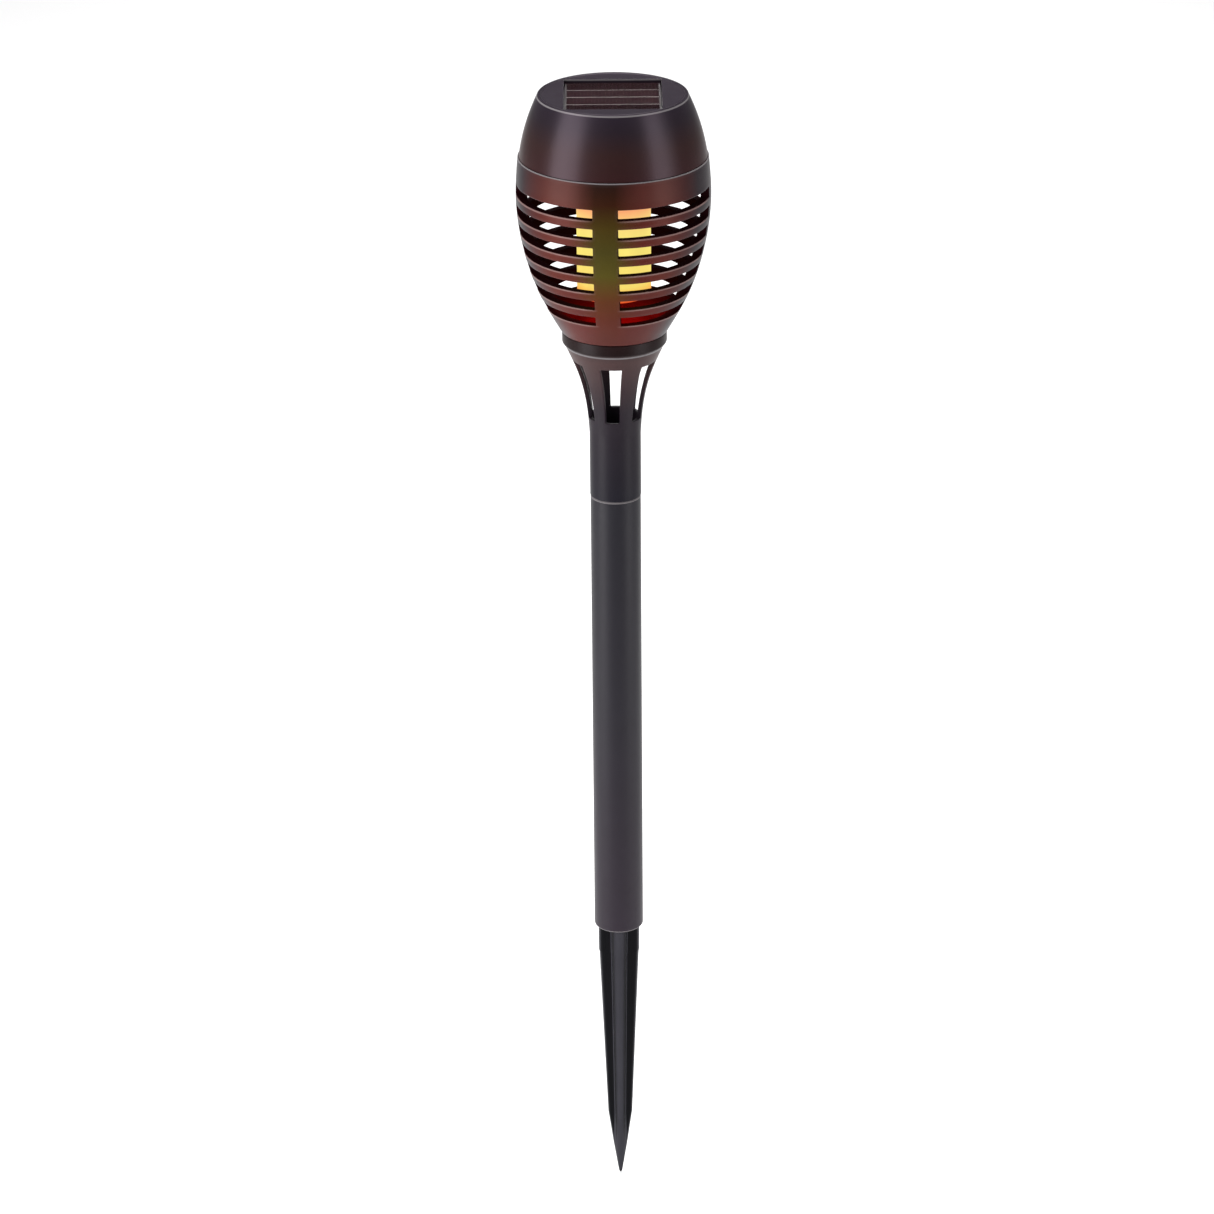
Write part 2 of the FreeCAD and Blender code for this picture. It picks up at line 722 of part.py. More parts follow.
def battery_wires():
    left = bent_wire([(-26.55, BATTERY_Y - 7.5, 375.2), (-26.55, 3.0, 375.2), (-20.0, -6.0, 379.5),
                      (-14.0, -14.5, 379.5), (-14.0, -18.0, 378.6), (-14.0, -18.0, PCB_TOP)], 0.55)
    return [left, mirrored_x(left)]


def led_wires():
    left = bent_wire([(-1.0, -10.0, PCB_TOP), (-1.0, -10.0, 378.6), (-1.0, -3.0, 377.5),
                      (-1.0, 0.0, 371.0), (-1.0, 0.0, 352.0)], 0.5)
    return [left, mirrored_x(left)]


# ---------------------------------------------------------------- light core
def led_post():
    column = centred_block(POST_SIDE, POST_SIDE, POST_LOW, PLATE_LOW - 1.5)
    upright = [e for e in column.Edges if e.BoundBox.ZLength > 10]
    column = column.makeFillet(1.0, upright)
    flange = cylinder(RING_R - RING_WALL - 0.2, PLATE_LOW - 1.5, PLATE_LOW)
    post = column.fuse(flange)
    post = post.cut(centred_block(POST_SIDE - 3, POST_SIDE - 3, POST_LOW - 1, PLATE_LOW + 1))
    for x in (-POST_SCREW_X, POST_SCREW_X):
        post = post.cut(cylinder(0.9, PLATE_LOW - 3, PLATE_LOW + 1, x, 0))
    return post


def post_screws():
    places = (-POST_SCREW_X, POST_SCREW_X)
    return [screw(x, 0, PLATE_TOP, 0.85, 4.5, 1.9, 1.2, False) for x in places]


def led_board():
    side = POST_SIDE + 2 * FLEX_THICK
    sleeve = centred_block(side, side, POST_LOW + 1.5, 352.0)
    inner = centred_block(POST_SIDE, POST_SIDE, POST_LOW + 1.5, 352.0)
    rounded = inner.makeFillet(1.0, [e for e in inner.Edges if e.BoundBox.ZLength > 10])
    outer = sleeve.makeFillet(1.4, [e for e in sleeve.Edges if e.BoundBox.ZLength > 10])
    return outer.cut(rounded)


def leds():
    wide, tall, deep = LED_SIZE
    face = POST_SIDE / 2 + FLEX_THICK
    chips = []
    for z in LED_ROWS:
        for quarter in range(4):
            chip = block(face, face + deep, -wide / 2, wide / 2, z - tall / 2, z + tall / 2)
            outer = [e for e in chip.Edges if e.BoundBox.XMin > face + deep - 0.01]
            chips.append(spun(chip.makeChamfer(0.3, outer), 90 * quarter))
    return chips


def diffuser():
    inner_r = DIFFUSER_R - DIFFUSER_WALL
    cup = cylinder(DIFFUSER_R, DIFFUSER_LOW, PLATE_LOW)
    low_edge = [e for e in cup.Edges if e.BoundBox.ZMax < DIFFUSER_LOW + 0.01]
    cup = cup.makeFillet(1.8, low_edge)
    return cup.cut(cylinder(inner_r, DIFFUSER_LOW + DIFFUSER_WALL, PLATE_LOW))


# ---------------------------------------------------------------- all nodes
os.makedirs("parts", exist_ok=True)

save("ground_spike", ground_spike())
save("pole_tube", pole_tube())
save("neck_funnel", neck_funnel())
save("cage", cage())
save("cage_screws", cage_screws())
save("seal_ring", seal_ring())
save("base_plate", base_plate())
save("plate_gasket", plate_gasket())
save("cap_shell", cap_shell())
save("cap_screws", cap_screws())
save("panel_tape", panel_tape())
save("panel_board", panel_board())
save("solar_cells", solar_cells())
save("cell_ribbons", cell_ribbons())
save("panel_resin", panel_resin())
save("circuit_board", circuit_board())
save("board_screws", board_screws())
save("controller_chip", controller_chip())
save("board_inductor", board_inductor())
save("inductor_winding", inductor_winding())
save("battery", battery())
save("battery_plate", battery_plate())
save("battery_spring", battery_spring())
save("switch_body", switch_body())
save("power_button", power_button())
save("panel_wires", panel_wires())
save("battery_wires", battery_wires())
save("led_wires", led_wires())
save("led_post", led_post())
save("post_screws", post_screws())
save("led_board", led_board())
save("leds", leds())
save("diffuser", diffuser())
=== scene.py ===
import math

import bmesh
import bpy
from mathutils import Matrix, Vector


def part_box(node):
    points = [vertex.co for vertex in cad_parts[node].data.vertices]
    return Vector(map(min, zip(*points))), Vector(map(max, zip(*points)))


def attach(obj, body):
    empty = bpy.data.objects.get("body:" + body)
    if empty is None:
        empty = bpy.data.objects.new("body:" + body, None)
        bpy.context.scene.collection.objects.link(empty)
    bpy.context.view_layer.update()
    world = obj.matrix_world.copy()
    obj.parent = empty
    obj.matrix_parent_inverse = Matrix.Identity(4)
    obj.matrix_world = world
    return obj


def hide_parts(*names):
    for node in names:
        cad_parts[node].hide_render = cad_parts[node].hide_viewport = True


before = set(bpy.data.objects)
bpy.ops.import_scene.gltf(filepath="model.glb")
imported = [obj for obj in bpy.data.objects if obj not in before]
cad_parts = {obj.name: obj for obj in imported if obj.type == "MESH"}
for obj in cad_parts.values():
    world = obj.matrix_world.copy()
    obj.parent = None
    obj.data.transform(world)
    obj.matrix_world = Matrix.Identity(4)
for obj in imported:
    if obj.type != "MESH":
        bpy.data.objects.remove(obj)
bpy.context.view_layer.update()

# Solar garden torch. Outlines are (radius, height) pairs in millimetres in the CAD
# frame, +Z up with the origin at the soil line; meshes are scaled to metres.
MM = 0.001


def cad(node):
    """Lowest and highest corner of a CAD node, in millimetres."""
    low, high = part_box(node)
    return low / MM, high / MM


# ---- sizes taken from the frame
POLE_HIGH = cad("pole_tube")[1]
CAGE_LOW, CAGE_HIGH = cad("cage")
CAP_LOW, CAP_HIGH = cad("cap_shell")
NECK_LOW, NECK_HIGH = cad("neck_funnel")
SPIKE_TIP = cad("ground_spike")[0].z
CORE_LOW, CORE_HIGH = cad("diffuser")
PANEL_LOW, PANEL_HIGH = cad("panel_resin")
PLATE_TOP = cad("base_plate")[1].z
GASKET_TOP = cad("plate_gasket")[1].z

# ---- cage
CAGE_FOOT = 285.0
CAGE_TOP = CAGE_HIGH.z
CAGE_WALL = 3.8
CAGE_OUTLINE = [(22.7, CAGE_FOOT), (31.0, 300.0), (38.5, 322.0), (41.4, 346.0), (40.4, CAGE_TOP)]
POST_WIDTH = 10.5
POST_ROOT_R = 14.0
CAGE_TURN = -5.3
CAGE_BEVEL = 0.32
FOOT_LEVELS = [286.4, 288.2]
SKIRT_LEVELS = [290.5, 293.2]
SLOT_ROWS = 7
SLOT_FIRST = 296.0
SLOT_PITCH = 8.42
SLOT_HEIGHT = 4.6
SLOT_COLUMNS = 24
MOUTH_R = 38.2
MOUTH_FOOT = 352.6
MOUTH_LEVELS = [356.0, 359.5, CAGE_TOP]
MOUTH_LEDGE_R = 37.5
MOUTH_LEDGE = 1.0
SPIGOT_R = 20.4
SPIGOT_WALL = 2.0
WIRE_HOLE_R = 2.5
OUTER_FACING = 0.25

# ---- neck
NECK_SLOTS = 6
NECK_SLOT_ANGLE = 31.0
NECK_SLOT_LOW = 245.6
NECK_SLOT_TOP = 272.3
NECK_SLOT_STEPS = 8
NECK_TURN = -5.3
NECK_WALL = 1.8
NECK_BEVEL = 0.35
TUBE_TOP = 225.0
FLARE = [(11.1, 238.0), (11.7, 246.0), (13.0, 255.0), (15.6, 265.0), (21.5, 279.0)]
FLARE_LOW_LEVELS = [240.5, 243.0]
FLARE_HIGH_LEVELS = [274.5, 276.8]
FLARE_R, FLARE_FOOT = FLARE[0]
FLARE_TOP_R, FLARE_TOP = FLARE[-1]
COLLAR_R = 22.5
COLLAR_FOOT = 280.1
NECK_FLOOR_LOW = 277.6
NECK_FLOOR_TOP = 279.6
NECK_BOSSES = (90.0, 210.0, 330.0)
NECK_BOSS_RING_R = 13.0
NECK_BOSS_R = 3.2

# ---- cap
CAP_BULGE = (37.35, 374.6)
CAP_RIM_R = 31.9
CAP_HOLLOW_BULGE = (34.6, 375.3)
CAP_HOLLOW_TOP_R = 30.4
CAP_HOLLOW_FOOT = (36.8, 368.4)
CAP_STEP = (36.0, 367.6)
CAP_SKIRT_R = 38.0
CAP_ROOF = 5.4
CAP_SUNK = 0.4
CAP_BEVEL = 0.25
CAP_BOSSES = (90.0, 205.0, 335.0)
CAP_BOSS_RING_R = 27.5
CAP_BOSS_R = 2.8
POCKET_X = (PANEL_HIGH.x - PANEL_LOW.x) / 2 + 0.5
POCKET_Y = (PANEL_HIGH.y - PANEL_LOW.y) / 2 + 0.5
POCKET_FLOOR = cad("panel_tape")[0].z

# ---- bayonet tracks in the cage's mouth, angles in degrees
LUG_ANGLES = (30.0, 150.0, 270.0)
TRACK_SIDE = 5.5
TRACK_LOCK = 18.0
TRACK_STEPS = 8
TRACK_R = 39.35
TRACK_LOW = 354.1
TRACK_ROOF = 357.4

# ---- pole and spike
PLUG_DEPTH = 25.0
SOCKET_R = 9.5
PLUG_R = 9.42
PLUG_WALL = 1.7
BORE_R = 8.8
DISC_HEIGHT = 2.0
# A fin's section: height, reach from the axis, width, and merge from cross (0) to circle (1).
PLUG_FINS = [(PLUG_DEPTH, 9.3, 6.6, 0.0), (12.0, 9.3, 6.6, 0.0), (0.0, 9.3, 6.6, 0.0)]
STEP_FINS = [(-7.0, 9.25, 6.45, 0.0), (-13.3, 9.2, 6.3, 0.0), (-13.7, 8.95, 6.1, 0.0)]
BLADE_TOP = STEP_FINS[-1]
BLADE_FOOT = (-97.0, 5.55, 4.0, 0.0)
BLADE_STEPS = 8
POINT_FINS = [
    (-100.0, 5.12, 3.95, 0.04),
    (-104.0, 4.55, 3.8, 0.18),
    (-108.0, 4.0, 3.6, 0.5),
    (-113.0, 3.3, 3.2, 1.0),
    (-118.0, 2.5, 2.4, 1.0),
    (-123.0, 1.7, 1.6, 1.0),
    (-127.0, 1.05, 1.0, 1.0),
    (SPIKE_TIP + 0.9, 0.75, 0.7, 1.0),
    (SPIKE_TIP + 0.3, 0.5, 0.45, 1.0),
    (SPIKE_TIP, 0.2, 0.18, 1.0),
]
FIN_CROWN = 0.42
FIN_NOSE = 0.13

# ---- diffuser
CORE_WALL = 1.2
CORE_HOLE_R = 0.4


# ---------------------------------------------------------------- mesh helpers
LATHE_COLUMNS = 96
BEVEL_SEGMENTS = 2
BEVEL_ANGLE = 28.0


def new_object(name, verts, faces):
    """Mesh object in the scene from vertices in millimetres, with its normals outwards."""
    mesh = bpy.data.meshes.new(name)
    mesh.from_pydata([Vector(v) * MM for v in verts], [], faces)
    obj = bpy.data.objects.new(name, mesh)
    bpy.context.scene.collection.objects.link(obj)
    work = bmesh.new()
    work.from_mesh(mesh)
    bmesh.ops.recalc_face_normals(work, faces=work.faces)
    work.to_mesh(mesh)
    work.free()
    return obj


def polar(r, z, degrees):
    """A point at a radius and height, turned from +X towards +Y."""
    a = math.radians(degrees)
    return (r * math.cos(a), r * math.sin(a), z)


def curve_through(points, heights):
    """Radius at each height on a smooth natural spline through (radius, height) points."""
    r = [p[0] for p in points]
    z = [p[1] for p in points]
    n = len(z)
    h = [z[i + 1] - z[i] for i in range(n - 1)]
    low, diag, rhs = [0.0] * n, [1.0] * n, [0.0] * n
    up = [0.0] * n
    for i in range(1, n - 1):
        low[i], diag[i], up[i] = h[i - 1], 2 * (h[i - 1] + h[i]), h[i]
        rhs[i] = 6 * ((r[i + 1] - r[i]) / h[i] - (r[i] - r[i - 1]) / h[i - 1])
    for i in range(1, n):
        factor = low[i] / diag[i - 1]
        diag[i] -= factor * up[i - 1]
        rhs[i] -= factor * rhs[i - 1]
    bend = [0.0] * n
    for i in range(n - 1, -1, -1):
        after = up[i] * bend[i + 1] if i < n - 1 else 0.0
        bend[i] = (rhs[i] - after) / diag[i]
    radii = []
    for height in heights:
        i = max(k for k in range(n - 1) if z[k] <= height or k == 0)
        a, b = (z[i + 1] - height) / h[i], (height - z[i]) / h[i]
        sag = ((a ** 3 - a) * bend[i] + (b ** 3 - b) * bend[i + 1]) * h[i] ** 2 / 6
        radii.append(a * r[i] + b * r[i + 1] + sag)
    return radii


def inset(points, wall):
    """Move each point of an outline inwards, square to the outline, by the wall."""
    moved = []
    for i, (r, z) in enumerate(points):
        before = points[max(i - 1, 0)]
        after = points[min(i + 1, len(points) - 1)]
        dr, dz = after[0] - before[0], after[1] - before[1]
        size = math.hypot(dr, dz)
        moved.append((r - wall * dz / size, z + wall * dr / size))
    return moved


def bow(a, middle, b, steps):
    """Points on the circular arc from a to b through middle, without the first one."""
    (x1, y1), (x2, y2), (x3, y3) = a, middle, b
    d = 2 * (x1 * (y2 - y3) + x2 * (y3 - y1) + x3 * (y1 - y2))
    s1, s2, s3 = x1 * x1 + y1 * y1, x2 * x2 + y2 * y2, x3 * x3 + y3 * y3
    cx = (s1 * (y2 - y3) + s2 * (y3 - y1) + s3 * (y1 - y2)) / d
    cy = (s1 * (x3 - x2) + s2 * (x1 - x3) + s3 * (x2 - x1)) / d
    radius = math.hypot(x1 - cx, y1 - cy)
    start = math.atan2(y1 - cy, x1 - cx)
    turn = math.atan2(y3 - cy, x3 - cx) - start
    turn = (turn + math.pi) % (2 * math.pi) - math.pi
    angles = [start + turn * k / steps for k in range(1, steps + 1)]
    return [(cx + radius * math.cos(t), cy + radius * math.sin(t)) for t in angles]


def lathe(name, loop):
    """Solid of revolution of a closed (radius, height) outline that stays off the axis."""
    rows = len(loop)
    verts = [polar(r, z, k * 360.0 / LATHE_COLUMNS) for r, z in loop for k in range(LATHE_COLUMNS)]
    faces = []
    for j in range(rows):
        low, top = j * LATHE_COLUMNS, (j + 1) % rows * LATHE_COLUMNS
        for c in range(LATHE_COLUMNS):
            d = (c + 1) % LATHE_COLUMNS
            faces.append((low + c, low + d, top + d, top + c))
    return new_object(name, verts, faces)


def slotted_wall(name, outer, inner, columns, angle_of, windows, gaps):
    """Wall between two paired outlines. Each window is a pair of level numbers and each
    gap a pair of column numbers; where they cross, the wall is cut right through."""
    levels, count = len(outer), len(columns)
    verts = []
    for outline in (outer, inner):
        for r, z in outline:
            verts += [polar(r, z, angle_of(column, r)) for column in columns]

    def out(j, c):
        return j * count + c % count

    def into(j, c):
        return (levels + j) * count + c % count

    def is_open(j, c):
        rows = any(low <= j < top for low, top in windows)
        return rows and any(first <= c < last for first, last in gaps)

    faces = []
    for c in range(count):
        faces.append((into(0, c), into(0, c + 1), out(0, c + 1), out(0, c)))
        top = levels - 1
        faces.append((out(top, c), out(top, c + 1), into(top, c + 1), into(top, c)))
        for j in range(levels - 1):
            if not is_open(j, c):
                faces.append((out(j, c), out(j, c + 1), out(j + 1, c + 1), out(j + 1, c)))
                faces.append((into(j + 1, c), into(j + 1, c + 1), into(j, c + 1), into(j, c)))
    for low, top in windows:
        for first, last in gaps:
            for c in range(first, last):
                faces.append((out(low, c), out(low, c + 1), into(low, c + 1), into(low, c)))
                faces.append((into(top, c), into(top, c + 1), out(top, c + 1), out(top, c)))
            for c in (first, last):
                for j in range(low, top):
                    faces.append((out(j, c), out(j + 1, c), into(j + 1, c), into(j, c)))
    return new_object(name, verts, faces)


def settle(obj):
    """Make the modifiers' result the object's own mesh."""
    graph = bpy.context.evaluated_depsgraph_get()
    graph.update()
    mesh = bpy.data.meshes.new_from_object(obj.evaluated_get(graph))
    obj.modifiers.clear()
    obj.data = mesh
    return obj


def round_edges(obj, width):
    """Moulded edges: a small bevel on every sharp edge, applied to the mesh."""
    bevel = obj.modifiers.new("rounding", "BEVEL")
    bevel.width = width * MM
    bevel.segments = BEVEL_SEGMENTS
    bevel.limit_method = "ANGLE"
    bevel.angle_limit = math.radians(BEVEL_ANGLE)
    bevel.miter_outer = "MITER_ARC"
    return settle(obj)


def smooth(obj, angle=32.0):
    """Smooth shading that breaks at edges sharper than the angle."""
    obj.data.shade_smooth()
    obj.data.set_sharp_from_angle(angle=math.radians(angle))
    weights = obj.modifiers.new("normals", "WEIGHTED_NORMAL")
    weights.keep_sharp = True
    return obj


def carve(obj, cutters):
    """Cut each cutter out of the object, and remove the cutter."""
    for cutter in cutters:
        cut = obj.modifiers.new("cut", "BOOLEAN")
        cut.operation = "DIFFERENCE"
        cut.solver = "EXACT"
        cut.object = cutter
        settle(obj)
        bpy.data.objects.remove(cutter)
    return obj


def join(name, objects):
    """One object from several, all with identity transforms."""
    merged = bmesh.new()
    for obj in objects:
        merged.from_mesh(obj.data)
    mesh = bpy.data.meshes.new(name)
    merged.to_mesh(mesh)
    merged.free()
    for obj in objects:
        bpy.data.objects.remove(obj)
    whole = bpy.data.objects.new(name, mesh)
    bpy.context.scene.collection.objects.link(whole)
    return whole


def rod(name, x, y, radius, low, high, sides=32):
    """Upright cylinder with its axis at x, y."""
    verts = []
    for z in (low, high):
        for k in range(sides):
            px, py, pz = polar(radius, z, 360.0 * k / sides)
            verts.append((px + x, py + y, pz))
    faces = [(k, (k + 1) % sides, sides + (k + 1) % sides, sides + k) for k in range(sides)]
    faces.append(tuple(range(sides - 1, -1, -1)))
    faces.append(tuple(range(sides, 2 * sides)))
    return new_object(name, verts, faces)


# ---------------------------------------------------------------- colours
# Stops are (position, colour) pairs. They run up the piece in the lists named _COLOURS or
# _POSTS and in FLAME, outwards from the axis in CAGE_INSIDE, and over a noise elsewhere.
# Painted highlight: a light colour on edges and rims where they would catch the light.
PAINTED_EDGE_HIGHLIGHT = (0.125, 0.115, 0.12)
# Painted highlight lines along the top edges of the cage's ribs, RIB_RIM millimetres wide.
PAINTED_RIB_HIGHLIGHT = (0.20, 0.12, 0.11)
RIB_RIM = 0.5
# Painted shade: charcoal on the cage's sides, away from its front and back.
PAINTED_SIDE_SHADE = (0.013, 0.010, 0.013)
# Spike: painted highlight on the fins' outer faces, and black with painted shade on their flanks and
# in the valleys.
SPIKE_PAINTED_HIGHLIGHT = [(0.3, (0.028, 0.027, 0.033)), (0.7, (0.038, 0.037, 0.045))]
SPIKE_SHADED_BLACK = [(0.3, (0.0020, 0.0020, 0.0030)), (0.7, (0.0035, 0.0034, 0.0050))]
CELL_FILM = [(0.3, (0.014, 0.0045, 0.006)), (0.7, (0.020, 0.007, 0.009))]
CELL_COMB = (0.085, 0.050, 0.055)
RESIN_TINT = [(0.3, (0.020, 0.010, 0.012)), (0.7, (0.028, 0.014, 0.017))]
PHOSPHOR_GLOW = [(0.3, (1.0, 0.45, 0.08)), (0.7, (1.0, 0.62, 0.16))]
CORE_DULLED = (0.10, 0.08, 0.06)
POLE_COLOURS = [
    (0.0, (0.0150, 0.0101, 0.0165)),
    (0.5, (0.0094, 0.0083, 0.0124)),
    (1.0, (0.0064, 0.0060, 0.0094)),
]
# Neck: darker towards the bottom; the red-brown near the top of the flare is painted glow from the
# lamp, and the near black band at the collar is painted shade under the cage.
NECK_COLOURS = [
    (0.00, (0.0066, 0.0061, 0.0102)),
    (0.55, (0.0130, 0.0090, 0.0130)),
    (0.88, (0.0420, 0.0210, 0.0205)),
    (0.92, (0.0320, 0.0160, 0.0160)),
    (0.935, (0.0060, 0.0015, 0.0015)),
    (1.00, (0.0080, 0.0020, 0.0020)),
]
# Cap: the red-brown towards the foot is painted glow from the lamp.
CAP_COLOURS = [
    (0.00, (0.0200, 0.0062, 0.0060)),
    (0.40, (0.0187, 0.0076, 0.0068)),
    (0.75, (0.0110, 0.0072, 0.0106)),
    (1.00, (0.0119, 0.0085, 0.0136)),
]
CAP_TOP_COLOURS = [(0.0, (0.010, 0.0055, 0.0110)), (1.0, (0.012, 0.0065, 0.0135))]
PLATE_COLOURS = [(0.0, (0.020, 0.019, 0.021)), (1.0, (0.027, 0.026, 0.029))]
# Painted glow: the lamp's light on the cage's outside, as colour up the cage, between the posts and
# on them.
PAINTED_GLOW_BETWEEN_POSTS = [
    (0.00, (0.066, 0.013, 0.011)),
    (0.20, (0.064, 0.009, 0.007)),
    (0.45, (0.067, 0.008, 0.004)),
    (0.80, (0.064, 0.010, 0.007)),
    (0.90, (0.058, 0.015, 0.012)),
    (1.00, (0.048, 0.012, 0.010)),
]
PAINTED_GLOW_ON_POSTS = [
    (0.00, (0.060, 0.013, 0.010)),
    (0.18, (0.058, 0.010, 0.004)),
    (0.31, (0.064, 0.017, 0.003)),
    (0.47, (0.047, 0.039, 0.003)),
    (0.61, (0.034, 0.029, 0.003)),
    (0.75, (0.034, 0.022, 0.002)),
    (0.88, (0.021, 0.006, 0.002)),
    (1.00, (0.010, 0.004, 0.003)),
]
# Painted glow: the lamp's red light on the cage's inner faces, strongest near the axis.
CAGE_INSIDE = [
    (0.00, (0.50, 0.012, 0.010)),
    (0.35, (0.34, 0.008, 0.008)),
    (0.55, (0.090, 0.004, 0.004)),
    (0.75, (0.022, 0.002, 0.003)),
    (1.00, (0.012, 0.002, 0.003)),
]
FLAME = [
    (0.00, (0.75, 0.03, 0.01)),
    (0.03, (1.00, 0.22, 0.04)),
    (0.07, (1.00, 0.55, 0.10)),
    (0.12, (1.00, 0.76, 0.17)),
    (0.45, (0.98, 0.84, 0.20)),
    (0.57, (1.00, 0.72, 0.22)),
    (0.67, (1.00, 0.42, 0.18)),
    (1.00, (0.98, 0.32, 0.16)),
]

# Noise scales, in cycles per metre, and grain depths, in millimetres.
CLOUD_SCALE = 60.0
FLOW_SCALE = 90.0
GRAIN_SCALE = 2600.0
SATIN_GRAIN = 0.010
SPIKE_GRAIN = 0.006


# ---------------------------------------------------------------- materials
class Recipe:
    """A material's node tree, with short names for the nodes that the finishes share."""

    def __init__(self, name):
        self.material = bpy.data.materials.new(name)
        self.material.use_nodes = True
        self.tree = self.material.node_tree
        self.shader = self.tree.nodes["Principled BSDF"]
        self.place = self.node("ShaderNodeTexCoord").outputs["Object"]

    def node(self, kind, **values):
        """A new shader node with its properties set."""
        made = self.tree.nodes.new(kind)
        for key, value in values.items():
            setattr(made, key, value)
        return made

    def join(self, source, target):
        """Link an output socket to an input socket."""
        self.tree.links.new(source, target)

    def fix(self, **values):
        """Constants on the shader's own sockets; an underscore stands for a space."""
        for key, value in values.items():
            self.shader.inputs[key.replace("_", " ")].default_value = value

    def noise(self, scale, detail=3.0, stretch=(1.0, 1.0, 1.0)):
        """Noise from 0 to 1; a stretch under 1 draws it out along that axis."""
        mapping = self.node("ShaderNodeMapping")
        mapping.inputs["Scale"].default_value = stretch
        texture = self.node("ShaderNodeTexNoise")
        texture.inputs["Scale"].default_value = scale
        texture.inputs["Detail"].default_value = detail
        self.join(self.place, mapping.inputs["Vector"])
        self.join(mapping.outputs[0], texture.inputs["Vector"])
        return texture.outputs["Fac"]

    def ramp(self, source, stops):
        """stops are (position, (r, g, b)) pairs."""
        made = self.node("ShaderNodeValToRGB")
        while len(made.color_ramp.elements) < len(stops):
            made.color_ramp.elements.new(0.5)
        for element, (position, colour) in zip(made.color_ramp.elements, stops):
            element.position = position
            element.color = (*colour, 1.0)
        self.join(source, made.inputs["Fac"])
        return made.outputs["Color"]

    def span(self, source, low, high, out_low, out_high):
        """Map low..high to out_low..out_high, clamped."""
        made = self.node("ShaderNodeMapRange")
        made.inputs["From Min"].default_value = low
        made.inputs["From Max"].default_value = high
        made.inputs["To Min"].default_value = out_low
        made.inputs["To Max"].default_value = out_high
        self.join(source, made.inputs["Value"])
        return made.outputs["Result"]

    def along(self, axis):
        """The place on one axis of the frame, in metres."""
        split = self.node("ShaderNodeSeparateXYZ")
        self.join(self.place, split.inputs[0])
        return split.outputs[axis]

    def height(self, low, high):
        """0 to 1 between two heights of the frame, in millimetres."""
        return self.span(self.along("Z"), low * MM, high * MM, 0.0, 1.0)

    def math(self, operation, a, b=0.0):
        """One sum on sockets or plain numbers."""
        made = self.node("ShaderNodeMath", operation=operation)
        for socket, value in zip(made.inputs, (a, b)):
            if isinstance(value, bpy.types.NodeSocket):
                self.join(value, socket)
            else:
                socket.default_value = value
        return made.outputs[0]

    def band(self, low, high, soft=0.12):
        """1 between two heights in millimetres, 0 outside them."""
        z = self.along("Z")
        above = self.span(z, (low - soft) * MM, low * MM, 0.0, 1.0)
        below = self.span(z, high * MM, (high + soft) * MM, 1.0, 0.0)
        return self.math("MULTIPLY", above, below)

    def around(self, turn=0.0):
        """Unit vector from the axis to the surface, as X and Y sockets, after a turn of
        the frame in degrees."""
        flat = self.node("ShaderNodeMapping")
        flat.inputs["Rotation"].default_value = (0.0, 0.0, math.radians(-turn))
        flat.inputs["Scale"].default_value = (1.0, 1.0, 0.0)
        unit = self.node("ShaderNodeVectorMath", operation="NORMALIZE")
        split = self.node("ShaderNodeSeparateXYZ")
        self.join(self.place, flat.inputs["Vector"])
        self.join(flat.outputs[0], unit.inputs[0])
        self.join(unit.outputs[0], split.inputs[0])
        return split.outputs["X"], split.outputs["Y"]

    def radius(self, low, high):
        """0 to 1 between two distances from the axis, in millimetres."""
        flat = self.node("ShaderNodeMapping")
        flat.inputs["Scale"].default_value = (1.0, 1.0, 0.0)
        size = self.node("ShaderNodeVectorMath", operation="LENGTH")
        self.join(self.place, flat.inputs["Vector"])
        self.join(flat.outputs[0], size.inputs[0])
        return self.span(size.outputs["Value"], low * MM, high * MM, 0.0, 1.0)

    def blend(self, kind, factor, a, b):
        """Mix of two colours; each argument is a socket, a number or a plain colour."""
        made = self.node("ShaderNodeMix", data_type="RGBA", blend_type=kind)
        sockets = [made.inputs[0], made.inputs[6], made.inputs[7]]
        for socket, value in zip(sockets, (factor, a, b)):
            if isinstance(value, bpy.types.NodeSocket):
                self.join(value, socket)
            elif isinstance(value, tuple):
                socket.default_value = (*value, 1.0)
            else:
                socket.default_value = value
        return made.outputs[2]

    def bump(self, *layers):
        """Each layer is (height source, depth in millimetres)."""
        normal = None
        for source, depth in layers:
            made = self.node("ShaderNodeBump")
            made.inputs["Strength"].default_value = 1.0
            made.inputs["Distance"].default_value = depth * MM
            self.join(source, made.inputs["Height"])
            if normal is not None:
                self.join(normal, made.inputs["Normal"])
            normal = made.outputs["Normal"]
        self.join(normal, self.shader.inputs["Normal"])

    def painted_edge_highlight(self, colour, strength, tint):
        """Painted highlight: lighter colour along the convex edges, where they would catch the light.
        """
        geometry = self.node("ShaderNodeNewGeometry")
        edge = self.span(geometry.outputs["Pointiness"], 0.52, 0.60, 0.0, strength)
        return self.blend("MIX", edge, colour, tint)


